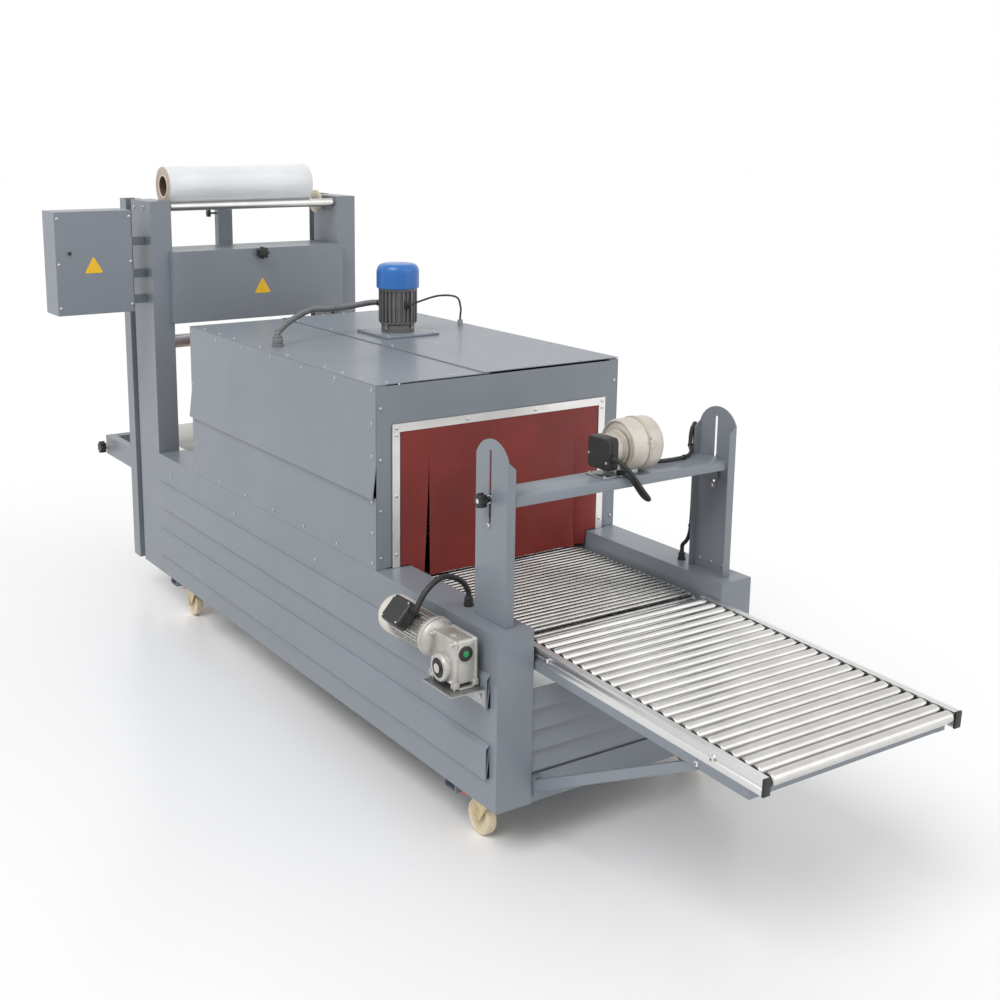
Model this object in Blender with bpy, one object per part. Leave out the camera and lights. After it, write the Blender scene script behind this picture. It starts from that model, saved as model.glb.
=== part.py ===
"""Heat shrink machine: sealing gantry, shrink tunnel, blower arms and outfeed roller bed. Metres, +Z up."""
import math

import bmesh
import bpy
from mathutils import Matrix, Vector

for old in list(bpy.data.objects):
    bpy.data.objects.remove(old, do_unlink=True)

# Main sizes
HALF_W = 0.44          # half the machine's width
X_END = 1.28           # outfeed end plane of the base
X_GF = -1.00           # front face of the gantry posts
X_POST = -1.20         # rear edge of the gantry's front channels
X_GR = -1.30           # rear face of the gantry
Z_BASE = 0.14          # underside of the cabinets
Z_TOP = 0.625          # top of the cabinets
Z_ROOF = 1.166         # tunnel roof
Z_POST = 1.595         # top of the gantry posts
CAB_W = 0.113          # width of one side cabinet
POST_W = 0.083         # width of one gantry post
SHEET = 0.0025         # folded sheet
GAP = 0.0004           # gap between fastened pieces
BAND_OUT = 0.012       # how far a pressed band stands out
X_T0 = -0.652          # tunnel's infeed face
X_T1 = 0.674           # tunnel's outfeed face
Z_CONV = 0.575         # conveyor surface

# Conveyor
ROD_R = 0.005
ROD_PITCH = 0.0211
LOOP_R = 0.043
LOOP_Z = Z_CONV - ROD_R - LOOP_R
X_HEAD = 1.165
X_TAIL = -0.598
CHAIN_Y = 0.306
CHAIN_W = 0.010
CHAIN_T = 0.012
SHAFT_R = 0.0125

# Outfeed roller bed
BED_Y = 0.322
BED_X0 = 1.222
BED_X1 = 2.068
BED_Z1 = 0.578
BED_SLOPE = math.radians(1.9)   # the bed falls a little towards its free end
RAIL_H = 0.040
RAIL_T = 0.020
ROLLERS = 23
ROLLER_X0 = 1.2400
ROLLER_PITCH = 0.0370
ROLLER_R = 0.0155

# Blower arms
ARM_X0 = 1.103
ARM_X1 = 1.243
ARM_Y = 0.391
ARM_T = 0.003
ARM_FLANGE = 0.025
ARM_TOP = 1.108
ARM_RISE = 0.046
SLOT_X = 1.166
SLOT_Z0 = 0.890
SLOT_Z1 = 1.075
SLOT_R = 0.005
BOLT_R = 0.0045
BOLT_Z = 0.950
BEAM_TOP = 0.967
BEAM_H = 0.027

# Casters
WHEEL_R = 0.050
WHEEL_W = 0.030
TRAIL = 0.032
CASTER_Y = 0.375
CASTER_X = (-0.815, 1.160)
PLATE_T = 0.005
KINGPIN_R = 0.006

# Film roll
FILM_R = 0.067
CORE_R = 0.038
SUP_R = 0.016
SUP_Z = 1.580
SUP_X = (-1.130, -1.030)

# Roof fan
FAN_X = -0.100
FAN_Y = 0.102

# Gearmotor
GEAR_Y = -0.502
WORM_Z = 0.577

# The modelling zero sits on the machine's centreline; every piece is shifted so that the origin is the
# centre of the whole footprint on the floor
FOOT_X0 = -1.640
FOOT_X1 = 2.0715
FOOT_Y0 = -0.806
FOOT_Y1 = HALF_W + BAND_OUT
OFFSET = Vector((-(FOOT_X0 + FOOT_X1) / 2, -(FOOT_Y0 + FOOT_Y1) / 2, 0.0))


def material(name, colour, metallic=0.0, roughness=0.5):
    mat = bpy.data.materials.new(name)
    mat.use_nodes = True
    node = mat.node_tree.nodes["Principled BSDF"]
    node.inputs["Base Color"].default_value = (*colour, 1.0)
    node.inputs["Metallic"].default_value = metallic
    node.inputs["Roughness"].default_value = roughness
    return mat


PAINT = (0.22, 0.245, 0.28)
STEEL = (0.62, 0.62, 0.62)
BLACK = (0.015, 0.015, 0.016)
CREAM = (0.72, 0.66, 0.52)


def solid(verts, faces):
    mesh = bpy.data.meshes.new("solid")
    mesh.from_pydata(verts, [], faces)
    bm = bmesh.new()
    bm.from_mesh(mesh)
    bmesh.ops.recalc_face_normals(bm, faces=bm.faces)
    bm.to_mesh(mesh)
    bm.free()
    return mesh


def place(axis, u, v, w):
    if axis == "x":
        return (w, u, v)
    if axis == "y":
        return (u, w, v)
    return (u, v, w)


def prism(points, axis, low, high):
    """Polygon in the plane across the axis (YZ for x, XZ for y, XY for z), swept from low to high."""
    count = len(points)
    verts = [place(axis, u, v, low) for u, v in points]
    verts += [place(axis, u, v, high) for u, v in points]
    faces = [tuple(range(count)), tuple(range(2 * count - 1, count - 1, -1))]
    for i in range(count):
        j = (i + 1) % count
        faces.append((i, i + count, j + count, j))
    return solid(verts, faces)


def box(x0, x1, y0, y1, z0, z1):
    return prism([(x0, y0), (x1, y0), (x1, y1), (x0, y1)], "z", z0, z1)


def ring_points(u, v, r, n, turn=0.0):
    step = 2 * math.pi / n
    return [(u + r * math.cos(turn + i * step), v + r * math.sin(turn + i * step)) for i in range(n)]


def rod(axis, u, v, r, low, high, n=20, turn=0.0):
    return prism(ring_points(u, v, r, n, turn), axis, low, high)


def turned(axis, u, v, profile, n=24):
    """Closed solid of revolution: profile is (radius, along) from one end to the other, radii above zero."""
    verts = []
    faces = []
    for r, w in profile:
        verts += [place(axis, a, b, w) for a, b in ring_points(u, v, r, n)]
    rows = len(profile)
    for k in range(rows - 1):
        for i in range(n):
            j = (i + 1) % n
            faces.append((k * n + i, k * n + j, (k + 1) * n + j, (k + 1) * n + i))
    faces.append(tuple(range(n)))
    faces.append(tuple((rows - 1) * n + i for i in range(n)))
    return solid(verts, faces)


def fold(path, t):
    """Closed outline of a sheet folded along path, its thickness to the left of the path."""
    offset = []
    for i, point in enumerate(path):
        p = Vector(point)
        normals = []
        for a, b in ((i - 1, i), (i, i + 1)):
            if a >= 0 and b < len(path):
                d = (Vector(path[b]) - Vector(path[a])).normalized()
                normals.append(Vector((-d.y, d.x)))
        n = sum(normals, Vector((0, 0)))
        n.normalize()
        offset.append(tuple(p + n * (t / n.dot(normals[0]))))
    return list(path) + offset[::-1]


def merged(meshes):
    """Several separate solids in one mesh, as one operand."""
    bm = bmesh.new()
    for mesh in meshes:
        bm.from_mesh(mesh)
    out = bpy.data.meshes.new("solids")
    bm.to_mesh(out)
    bm.free()
    return out


def boolean(mesh, other, operation):
    a = bpy.data.objects.new("first", mesh)
    b = bpy.data.objects.new("second", other)
    bpy.context.scene.collection.objects.link(a)
    bpy.context.scene.collection.objects.link(b)
    modifier = a.modifiers.new("cut", "BOOLEAN")
    modifier.operation = operation
    modifier.solver = "EXACT"
    modifier.object = b
    bpy.context.view_layer.update()
    graph = bpy.context.evaluated_depsgraph_get()
    result = bpy.data.meshes.new_from_object(a.evaluated_get(graph))
    bpy.data.objects.remove(a)
    bpy.data.objects.remove(b)
    return result


def node(name, first, add=(), cut=(), colour=PAINT, metallic=0.0, roughness=0.45, smooth=False, late=()):
    mesh = first
    for other in add:
        mesh = boolean(mesh, other, "UNION")
    for other in cut:
        mesh = boolean(mesh, other, "DIFFERENCE")
    for other in late:
        mesh = boolean(mesh, other, "UNION")
    bm = bmesh.new()
    bm.from_mesh(mesh)
    bmesh.ops.remove_doubles(bm, verts=bm.verts, dist=0.00001)
    bmesh.ops.dissolve_limit(bm, angle_limit=0.002, verts=bm.verts, edges=bm.edges)
    bmesh.ops.translate(bm, verts=bm.verts, vec=OFFSET)
    bm.normal_update()
    bm.to_mesh(mesh)
    bm.free()
    mesh.materials.clear()
    mesh.materials.append(material(name, colour, metallic, roughness))
    obj = bpy.data.objects.new(name, mesh)
    bpy.context.scene.collection.objects.link(obj)
    if smooth:
        mesh.shade_smooth()
        mesh.set_sharp_from_angle(angle=math.radians(32))
    return obj


def hang(obj, parent):
    obj.parent = parent
    obj.matrix_parent_inverse = parent.matrix_world.inverted()


def pivot(name, location):
    empty = bpy.data.objects.new(name, None)
    empty.location = Vector(location) + OFFSET
    bpy.context.scene.collection.objects.link(empty)
    bpy.context.view_layer.update()
    return empty


def smooth_route(points, per=4):
    out = []
    count = len(points)
    for i in range(count - 1):
        p0 = Vector(points[max(i - 1, 0)])
        p1 = Vector(points[i])
        p2 = Vector(points[i + 1])
        p3 = Vector(points[min(i + 2, count - 1)])
        for k in range(per):
            t = k / per
            a = 2 * p1 + (p2 - p0) * t + (2 * p0 - 5 * p1 + 4 * p2 - p3) * t ** 2
            out.append((a + (3 * p1 - p0 - 3 * p2 + p3) * t ** 3) * 0.5)
    out.append(Vector(points[-1]))
    for k in range(1, per):
        out[k] = Vector(points[0]).lerp(Vector(points[1]), k / per)
        out[-1 - k] = Vector(points[-1]).lerp(Vector(points[-2]), k / per)
    return out


def cord(name, points, r, colour=BLACK, roughness=0.5):
    route = smooth_route(points)
    data = bpy.data.curves.new(name, "CURVE")
    data.dimensions = "3D"
    data.bevel_depth = r
    data.bevel_resolution = 2
    data.use_fill_caps = True
    spline = data.splines.new("POLY")
    spline.points.add(len(route) - 1)
    for item, p in zip(spline.points, route):
        item.co = (*(p + OFFSET), 1.0)
    spline.use_smooth = True
    data.materials.append(material(name, colour, 0.0, roughness))
    obj = bpy.data.objects.new(name, data)
    bpy.context.scene.collection.objects.link(obj)
    return obj


def mirrored(points, side):
    return [(u * side, v) for u, v in points]


# Side cabinets: folded sheet, open below, with two pressed bands along the outside
BANDS = ((0.514, 0.420), (0.323, 0.226))
SHAFT_HOLE = SHAFT_R + 0.0004


def band_path(y, top, bottom, bands, out):
    path = [(y, top)]
    for high, low in bands:
        path += [(y, high), (y - out, low), (y, low)]
    path.append((y, bottom))
    return path


for side, label in ((-1, "left"), (1, "right")):
    outer = [(-HALF_W + CAB_W, Z_BASE), (-HALF_W + CAB_W, Z_TOP)]
    outer += band_path(-HALF_W, Z_TOP, Z_BASE, BANDS, BAND_OUT)
    outer += [(-HALF_W + 0.030, Z_BASE)]
    section = mirrored(fold(outer, SHEET), -side)
    corner = [(-HALF_W, Z_BASE), (-HALF_W + CAB_W, Z_BASE), (-HALF_W + CAB_W, Z_TOP), (-HALF_W, Z_TOP)]
    shell = prism(section, "x", X_GF + GAP, X_END - 0.030)
    post = prism(mirrored(fold(
        [(-HALF_W + CAB_W, Z_BASE), (-HALF_W + CAB_W, Z_TOP), (-HALF_W, Z_TOP), (-HALF_W, Z_BASE),
         (-HALF_W + 0.030, Z_BASE)], SHEET), -side), "x", X_END - 0.031, X_END)
    face = prism(mirrored(corner, -side), "x", X_END - SHEET, X_END)
    cuts = [rod("y", X_HEAD, LOOP_Z, SHAFT_HOLE, min(side * 0.3, side * 0.5), max(side * 0.3, side * 0.5), 24)]
    if side > 0:
        cuts = []
    pads = []
    if side < 0:
        pads = [rod("z", 1.050, -0.374, 0.0115, Z_TOP - SHEET, Z_TOP + 0.024, 16)]
    else:
        pads = [rod("z", 1.056, 0.383, 0.010, Z_TOP - SHEET, Z_TOP + 0.022, 16)]
    node("side_cabinet_" + label, shell, add=[post, face] + pads, cut=cuts)

# Panel and lower beam across the outfeed end
INNER = HALF_W - CAB_W - GAP
panel_path = [(X_END - 0.012, 0.455)]
for k in range(4):
    high = 0.455 - 0.0575 * k
    panel_path += [(X_END - 0.012, high - 0.006), (X_END - 0.002, high - 0.0535), (X_END - 0.012, high - 0.0555)]
panel_path += [(X_END - 0.012, 0.219), (X_END - 0.004, 0.219), (X_END - 0.004, Z_BASE + 0.001),
               (X_END - 0.045, Z_BASE + 0.001)]
section = fold(panel_path, -SHEET)
node("end_panel", prism(section, "y", -INNER, INNER))

# Beams under the base, with the plates that carry the casters
for index, (x_swivel, label) in enumerate(zip(CASTER_X, ("rear", "front"))):
    x0 = x_swivel - 0.140
    low = Z_BASE - 0.034
    high = Z_BASE - GAP
    beam = box(x0, x0 + 0.055, -HALF_W + 0.012, HALF_W - 0.012, low, high)
    hollow = box(x0 + 0.003, x0 + 0.052, -HALF_W, HALF_W, low + 0.003, high - 0.003)
    plates = []
    holes = [hollow]
    for s in (-1, 1):
        plates.append(box(x0 + 0.052, x_swivel + 0.055, s * CASTER_Y - 0.045, s * CASTER_Y + 0.045,
                          high - PLATE_T, high))
        holes.append(rod("z", x_swivel, s * CASTER_Y, KINGPIN_R + 0.0005, high - 0.02, high + 0.01, 12))
    node("caster_beam_" + label, beam, add=plates, cut=holes)

# Casters
for x_swivel, end in zip(CASTER_X, ("rear", "front")):
    for s, label in ((-1, "left"), (1, "right")):
        y = s * CASTER_Y
        xw = x_swivel - TRAIL
        tag = end + "_" + label
        swivel = pivot("caster_swivel_" + tag, (x_swivel, y, 0.12))
        under = Z_BASE - GAP - PLATE_T - 0.005
        crown_z = 2 * WHEEL_R + 0.005
        crown = box(xw - 0.020, x_swivel + 0.026, y - 0.0235, y + 0.0235, crown_z, crown_z + 0.004)
        head = turned("z", x_swivel, y, [(0.026, crown_z + 0.001), (0.031, crown_z + 0.008),
                                         (0.031, under - 0.004), (0.027, under)], 16)
        king = rod("z", x_swivel, y, KINGPIN_R, under - 0.004, Z_BASE - 0.001, 12)
        legs = []
        for t in (-1, 1):
            a = y + t * 0.0205
            b = y + t * 0.0235
            leg = [(xw - 0.012, WHEEL_R - 0.010), (xw + 0.012, WHEEL_R - 0.010),
                   (x_swivel + 0.024, crown_z + 0.003), (xw - 0.018, crown_z + 0.003)]
            legs.append(prism(leg, "y", min(a, b), max(a, b)))
        axle = rod("y", xw, WHEEL_R, 0.006, y - 0.0265, y + 0.0265, 12)
        pedal_arm = prism([(xw - 0.072, 0.086), (xw - 0.040, 0.098), (xw - 0.010, 0.1062), (xw - 0.010, 0.1085),
                           (xw - 0.042, 0.1012), (xw - 0.074, 0.0893)], "y", y - 0.014, y + 0.014)
        fork = node("caster_fork_" + tag, crown, add=[head, king] + legs + [axle, pedal_arm],
                    colour=(0.62, 0.56, 0.40), metallic=0.9, roughness=0.3)
        hang(fork, swivel)
        spin = pivot("caster_spin_" + tag, (xw, y, WHEEL_R))
        half = WHEEL_W / 2
        tread = turned("y", xw, WHEEL_R, [(0.045, y - half), (WHEEL_R, y - half + 0.005),
                                          (WHEEL_R, y + half - 0.005), (0.045, y + half)], 28)
        bore = rod("y", xw, WHEEL_R, 0.00605, y - 0.03, y + 0.03, 12)
        wheel = node("caster_wheel_" + tag, tread, cut=[bore], colour=CREAM, roughness=0.4, smooth=True)
        hang(spin, swivel)
        hang(wheel, spin)

# Gantry posts: front channel, rear channel behind a narrow recess, joined by tie plates
for s, label in ((-1, "left"), (1, "right")):
    yo = HALF_W
    yi = HALF_W - POST_W
    t = 0.003
    front = prism([(q[0], s * q[1]) for q in fold(
        [(X_POST, yi + 0.018), (X_POST, yi), (X_GF, yi), (X_GF, yo), (X_POST, yo), (X_POST, yo - 0.018)],
        t)], "z", Z_BASE, Z_POST)
    cap = box(X_POST, X_GF, min(s * yi, s * yo), max(s * yi, s * yo), Z_POST - t, Z_POST)
    rear = prism([(q[0], s * q[1]) for q in fold(
        [(X_GR + 0.066, yi + 0.030), (X_GR + 0.066, yo + 0.008), (X_GR, yo + 0.008), (X_GR, yi + 0.030)],
        t)], "z", Z_BASE, Z_POST)
    ties = []
    for z in (Z_BASE + 0.05, 0.62, 1.10, Z_POST - 0.06):
        y0 = s * (yo - 0.030)
        y1 = s * (yo - 0.017)
        ties.append(box(X_GR + 0.064, X_POST + 0.002, min(y0, y1), max(y0, y1), z, z + 0.050))
    node("gantry_post_" + label, front, add=[cap, rear] + ties)

# Cover between the posts, with its star knob
CV_X1 = X_GF + 0.030
cover_shell = prism(fold([(X_POST + 0.004, 1.150), (X_POST + 0.004, 1.405), (CV_X1, 1.405), (CV_X1, 1.131),
                          (CV_X1 - 0.025, 1.131)], -SHEET), "y", -(HALF_W - POST_W - 0.001),
                    HALF_W - POST_W - 0.001)
front_plate = box(CV_X1 - SHEET, CV_X1, -0.366, 0.366, 1.131, 1.405)
side_flanges = []
for s in (-1, 1):
    y0 = s * (HALF_W - POST_W - 0.001)
    y1 = s * (HALF_W - POST_W - 0.001 - SHEET)
    side_flanges.append(box(X_POST + 0.004, CV_X1, min(y0, y1), max(y0, y1), 1.150, 1.405))
    y1 = s * 0.366
    y0 = s * 0.358
    side_flanges.append(box(X_GF + GAP, CV_X1, min(y0, y1), max(y0, y1), 1.131, 1.405))
stem = rod("x", 0.0, 1.388, 0.007, CV_X1 - 0.001, CV_X1 + 0.010, 16)
star = rod("x", 0.0, 1.388, 0.018, CV_X1 + 0.008, CV_X1 + 0.030, 16)
node("gantry_cover", cover_shell, add=[side_flanges[0], side_flanges[2], front_plate,
                                       side_flanges[1], side_flanges[3], stem, star])

# Column behind the cover that carries the sealing head
col = prism(fold([(-1.232, -0.020), (-1.1994, -0.020), (-1.1994, -0.075), (-1.232, -0.075)], 0.003), "z", 1.150, 1.560)
knob_stem = rod("y", -1.214, 1.530, 0.004, -0.110, -0.077, 12)
knob_head = rod("y", -1.214, 1.530, 0.011, -0.118, -0.106, 12)
node("sealing_column", col, add=[knob_stem, knob_head])

# Film support rollers and film roll
for x, label in zip(SUP_X, ("rear", "front")):
    y_end = HALF_W - POST_W - GAP
    parts = [rod("y", x, SUP_Z, 0.006, -y_end, y_end, 16)]
    if label == "rear":
        parts += [turned("y", x, SUP_Z - 0.008, [(0.032, 0.316), (0.044, 0.324), (0.044, 0.334), (0.036, 0.345)], 28)]
    node("film_support_" + label, rod("y", x, SUP_Z, SUP_R, -0.350, 0.350, 20), add=parts,
         colour=STEEL, metallic=1.0, roughness=0.3, smooth=True)
half_span = (SUP_X[1] - SUP_X[0]) / 2
FILM_X = (SUP_X[0] + SUP_X[1]) / 2
FILM_Z = SUP_Z + math.sqrt((FILM_R + SUP_R + 0.0006) ** 2 - half_span ** 2)
film_axis = pivot("film_axis", (FILM_X, 0, FILM_Z))
film = node("film_roll", turned("y", FILM_X, FILM_Z, [(FILM_R, -0.354), (FILM_R, 0.252)], 48),
            cut=[rod("y", FILM_X, FILM_Z, CORE_R, -0.5, 0.5, 40)], colour=(0.75, 0.77, 0.78),
            roughness=0.25, smooth=True)
hang(film, film_axis)

# Control box on three brackets
BX1 = X_GF
BX0 = X_GF - 0.140
BY0 = FOOT_Y0
BY1 = -0.516
BZ0 = 1.187
BZ1 = 1.566
case = box(BX0, BX1 - 0.0035, BY0, BY1, BZ0, BZ1)
inside = box(BX0 + 0.002, BX1, BY0 + 0.002, BY1 - 0.002, BZ0 + 0.002, BZ1 - 0.002)
brackets = []
for z in (1.222, 1.320, 1.443):
    brackets.append(box(-1.105, -1.070, BY1 - 0.001, -HALF_W - GAP, z - 0.015, z + 0.015))
node("control_box", case, cut=[inside], late=brackets)
door = box(BX1 - 0.003, BX1, BY0, BY1, BZ0, BZ1)
node("control_box_cover", door, add=[rod("x", -0.755, 1.415, 0.007, BX1 - 0.002, BX1 + 0.004, 16)])

# Infeed: side rails, slider plate and end rollers in one frame, with a belt around them
IN_X0 = FOOT_X0
IN_X1 = -0.672
IN_Y = 0.326
BELT_Y = 0.288
BELT_T = 0.003
BELT_R = 0.029
BELT_Z = Z_CONV + 0.012 - BELT_R
rails = []
for s in (-1, 1):
    y0 = s * (IN_Y - 0.030)
    y1 = s * IN_Y
    rails.append(box(IN_X0, IN_X1, min(y0, y1), max(y0, y1), 0.545, 0.602))
slider = box(IN_X0 + 0.080, IN_X1 - 0.080, -IN_Y + 0.001, IN_Y - 0.001, BELT_Z + 0.016,
             BELT_Z + BELT_R - BELT_T - GAP)
end_rolls = [rod("y", x, BELT_Z, BELT_R - BELT_T - GAP, -IN_Y + 0.001, IN_Y - 0.001, 20)
             for x in (IN_X0 + 0.034, IN_X1 - 0.034)]
node("infeed_bed", rails[0], add=[slider] + end_rolls[:1] + [rails[1]] + end_rolls[1:],
     colour=(0.72, 0.73, 0.74), metallic=1.0, roughness=0.35)
for s, label in ((-1, "left"), (1, "right")):
    plate_path = [(s * (HALF_W - 0.030), 0.582), (s * (HALF_W + 0.006), 0.582), (s * (HALF_W + 0.006), 0.502)]
    plate = prism(fold(plate_path, 0.003 * -s), "x", -1.600, X_GR - GAP)
    arm_y0 = s * (IN_Y + GAP)
    arm_y1 = s * (HALF_W + 0.005)
    ties = [box(x, x + 0.030, min(arm_y0, arm_y1), max(arm_y0, arm_y1), 0.548, 0.5795) for x in (-1.596, X_GR - 0.040)]
    end = box(-1.600, -1.597, min(arm_y0, arm_y1), max(arm_y0, arm_y1), 0.503, 0.581)
    more = []
    if s < 0:
        more = [rod("y", -1.572, 0.537, 0.014, -HALF_W - 0.024, -HALF_W - 0.004, 20),
                rod("y", -1.572, 0.537, 0.020, -HALF_W - 0.046, -HALF_W - 0.023, 20)]
    node("infeed_side_" + label, plate, add=ties + [end] + more)


def loop_points(x0, x1, z, r, n=10):
    points = []
    for i in range(n + 1):
        a = -math.pi / 2 + math.pi * i / n
        points.append((x1 + r * math.cos(a), z + r * math.sin(a)))
    for i in range(n + 1):
        a = math.pi / 2 + math.pi * i / n
        points.append((x0 + r * math.cos(a), z + r * math.sin(a)))
    return points


def loop_band(x0, x1, z, r_out, r_in, y0, y1, n=10):
    outer = prism(loop_points(x0, x1, z, r_out, n), "y", y0, y1)
    inner = prism(loop_points(x0, x1, z, r_in, n), "y", y0 - 0.01, y1 + 0.01)
    return boolean(outer, inner, "DIFFERENCE")


node("infeed_belt", loop_band(IN_X0 + 0.034, IN_X1 - 0.034, BELT_Z, BELT_R, BELT_R - BELT_T,
                              -BELT_Y, BELT_Y), colour=(0.6, 0.6, 0.58), roughness=0.7)

# Rod conveyor: thin rods carried by two chains that run around the head and tail shafts
straight = X_HEAD - X_TAIL
arc = math.pi * LOOP_R
total = 2 * straight + 2 * arc
count = round(total / ROD_PITCH)
rods = []
for i in range(count):
    s = i * total / count
    if s < straight:
        x, z = X_TAIL + s, LOOP_Z + LOOP_R
    elif s < straight + arc:
        a = math.pi / 2 - (s - straight) / LOOP_R
        x, z = X_HEAD + LOOP_R * math.cos(a), LOOP_Z + LOOP_R * math.sin(a)
    elif s < 2 * straight + arc:
        x, z = X_HEAD - (s - straight - arc), LOOP_Z - LOOP_R
    else:
        a = -math.pi / 2 - (s - 2 * straight - arc) / LOOP_R
        x, z = X_TAIL + LOOP_R * math.cos(a), LOOP_Z + LOOP_R * math.sin(a)
    rods.append(rod("y", x, z, ROD_R, -CHAIN_Y, CHAIN_Y, 4, math.pi / 4))
strips = []
for s in (-1, 1):
    y0 = s * CHAIN_Y - CHAIN_W / 2
    strips.append(loop_band(X_TAIL, X_HEAD, LOOP_Z, LOOP_R + CHAIN_T / 2 - 0.001, LOOP_R - CHAIN_T / 2,
                            y0, y0 + CHAIN_W, 12))
node("rod_conveyor", merged(strips), add=[merged(rods)], colour=STEEL, metallic=1.0, roughness=0.3)

for x, label, low in ((X_HEAD, "head", -0.550), (X_TAIL, "tail", -INNER)):
    discs = [rod("y", x, LOOP_Z, LOOP_R - CHAIN_T / 2 - GAP, s * CHAIN_Y - 0.004, s * CHAIN_Y + 0.004, 24)
             for s in (-1, 1)]
    node("conveyor_" + label + "_shaft", rod("y", x, LOOP_Z, SHAFT_R, low, INNER, 24), add=discs,
         colour=STEEL, metallic=1.0, roughness=0.35, smooth=True)

# Shrink tunnel
T_BAND = ((0.933, 0.838),)
for s, label in ((-1, "left"), (1, "right")):
    path = [(-HALF_W + 0.035, Z_ROOF - GAP)] + band_path(-HALF_W, Z_ROOF - GAP, Z_TOP + GAP, T_BAND, BAND_OUT)
    path += [(-HALF_W + 0.035, Z_TOP + GAP)]
    section = mirrored(fold(path, SHEET), -s)
    node("tunnel_side_" + label, prism(section, "x", X_T0, X_T1))
SEAM_Y = -0.070
node("tunnel_roof_left", prism(fold([(-HALF_W, Z_ROOF), (SEAM_Y + 0.020, Z_ROOF)], SHEET), "x", X_T0, X_T1),
     add=[rod("z", -0.080, -0.370, 0.017, Z_ROOF, Z_ROOF + 0.030, 20)])
roof_z = Z_ROOF + SHEET + GAP
node("tunnel_roof_right", prism(fold([(SEAM_Y, roof_z), (HALF_W, roof_z)], SHEET), "x", X_T0, X_T1),
     add=[rod("z", -0.157, 0.400, 0.010, roof_z, roof_z + 0.022, 16)])
OPEN_Y = 0.358
OPEN_Z = 1.028
for x_face, sign, label in ((X_T1, 1, "front"), (X_T0, -1, "rear")):
    y_in = HALF_W - SHEET - GAP
    a = x_face - sign * SHEET
    plate = box(min(a, x_face), max(a, x_face), -y_in, y_in, Z_TOP + SHEET + 2 * GAP,
                Z_ROOF - SHEET - 2 * GAP)
    opening = box(x_face - 0.1, x_face + 0.1, -OPEN_Y, OPEN_Y, Z_TOP - 0.1, OPEN_Z)
    node("tunnel_" + label + "_wall", plate, cut=[opening])
    c0 = x_face + sign * 0.0034
    c1 = x_face + sign * 0.0060
    outline = [(-0.388, Z_TOP + 0.001), (-0.363, Z_TOP + 0.001), (-0.363, 1.027), (0.363, 1.027),
               (0.363, Z_TOP + 0.001), (0.388, Z_TOP + 0.001), (0.388, 1.051), (-0.388, 1.051)]
    frame_obj = prism(outline, "x", min(c0, c1), max(c0, c1))
    node("curtain_frame_" + label, frame_obj, colour=(0.72, 0.73, 0.74), metallic=1.0, roughness=0.35)
    d0 = x_face + sign * GAP
    d1 = x_face + sign * 0.0030
    curtain_z = Z_CONV + 0.010
    step_z = Z_TOP + 0.004
    slit = 0.0008
    cuts = []
    for y_cut, z_cut in ((-0.262, 0.960), (0.267, 0.985)):
        cuts.append(box(x_face - 0.1, x_face + 0.1, y_cut - slit, y_cut + slit, 0.3, z_cut))
    body = prism([(-0.320, curtain_z), (0.320, curtain_z), (0.320, step_z), (0.360, step_z), (0.360, 1.048),
                  (-0.360, 1.048), (-0.360, step_z), (-0.320, step_z)], "x", min(d0, d1), max(d0, d1))
    node("curtain_" + label, body, cut=cuts, colour=(0.20, 0.018, 0.012), roughness=0.5)

# Roof fan
base_z = roof_z + SHEET + GAP
plate = box(FAN_X - 0.104, FAN_X + 0.104, FAN_Y - 0.104, FAN_Y + 0.104, base_z, base_z + 0.008)
body = turned("z", FAN_X, FAN_Y, [(0.062, base_z + 0.006), (0.062, base_z + 0.014), (0.056, base_z + 0.018),
                                  (0.056, base_z + 0.034), (0.068, base_z + 0.038), (0.068, base_z + 0.160)], 32)
gland = rod("x", FAN_Y - 0.030, base_z + 0.100, 0.011, FAN_X - 0.080, FAN_X - 0.050, 16)
node("fan_motor", plate, add=[body, gland], colour=(0.30, 0.33, 0.36), metallic=0.6)
cap_z = base_z + 0.160 + GAP
node("fan_cap", turned("z", FAN_X, FAN_Y, [(0.072, cap_z), (0.074, cap_z + 0.004), (0.074, cap_z + 0.060),
                                           (0.068, cap_z + 0.076), (0.054, cap_z + 0.084)], 40),
     colour=(0.005, 0.14, 0.47), roughness=0.35, smooth=True)
top_fit = Z_ROOF + 0.030
cord("fan_conduit", [(FAN_X - 0.0804, FAN_Y - 0.030, base_z + 0.100), (FAN_X - 0.092, FAN_Y - 0.030, base_z + 0.100),
                     (-0.200, 0.046, base_z + 0.099), (-0.195, -0.047, base_z + 0.092),
                     (-0.185, -0.121, base_z + 0.091), (-0.170, -0.200, base_z + 0.094),
                     (-0.140, -0.286, base_z + 0.071), (-0.096, -0.352, base_z + 0.048),
                     (-0.080, -0.370, top_fit + 0.014), (-0.080, -0.370, top_fit + GAP)], 0.009,
     colour=(0.25, 0.26, 0.27), roughness=0.6)
cord("fan_cable", [(FAN_X + 0.0686, FAN_Y, base_z + 0.105), (FAN_X + 0.077, FAN_Y, base_z + 0.105),
                   (FAN_X + 0.088, FAN_Y + 0.030, base_z + 0.118),
                   (FAN_X + 0.092, FAN_Y + 0.110, base_z + 0.134), (FAN_X + 0.050, FAN_Y + 0.210, base_z + 0.118),
                   (-0.110, 0.370, base_z + 0.072), (-0.153, 0.399, base_z + 0.046),
                   (-0.157, 0.400, roof_z + 0.034), (-0.157, 0.400, roof_z + 0.022 + GAP)], 0.0035)

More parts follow.
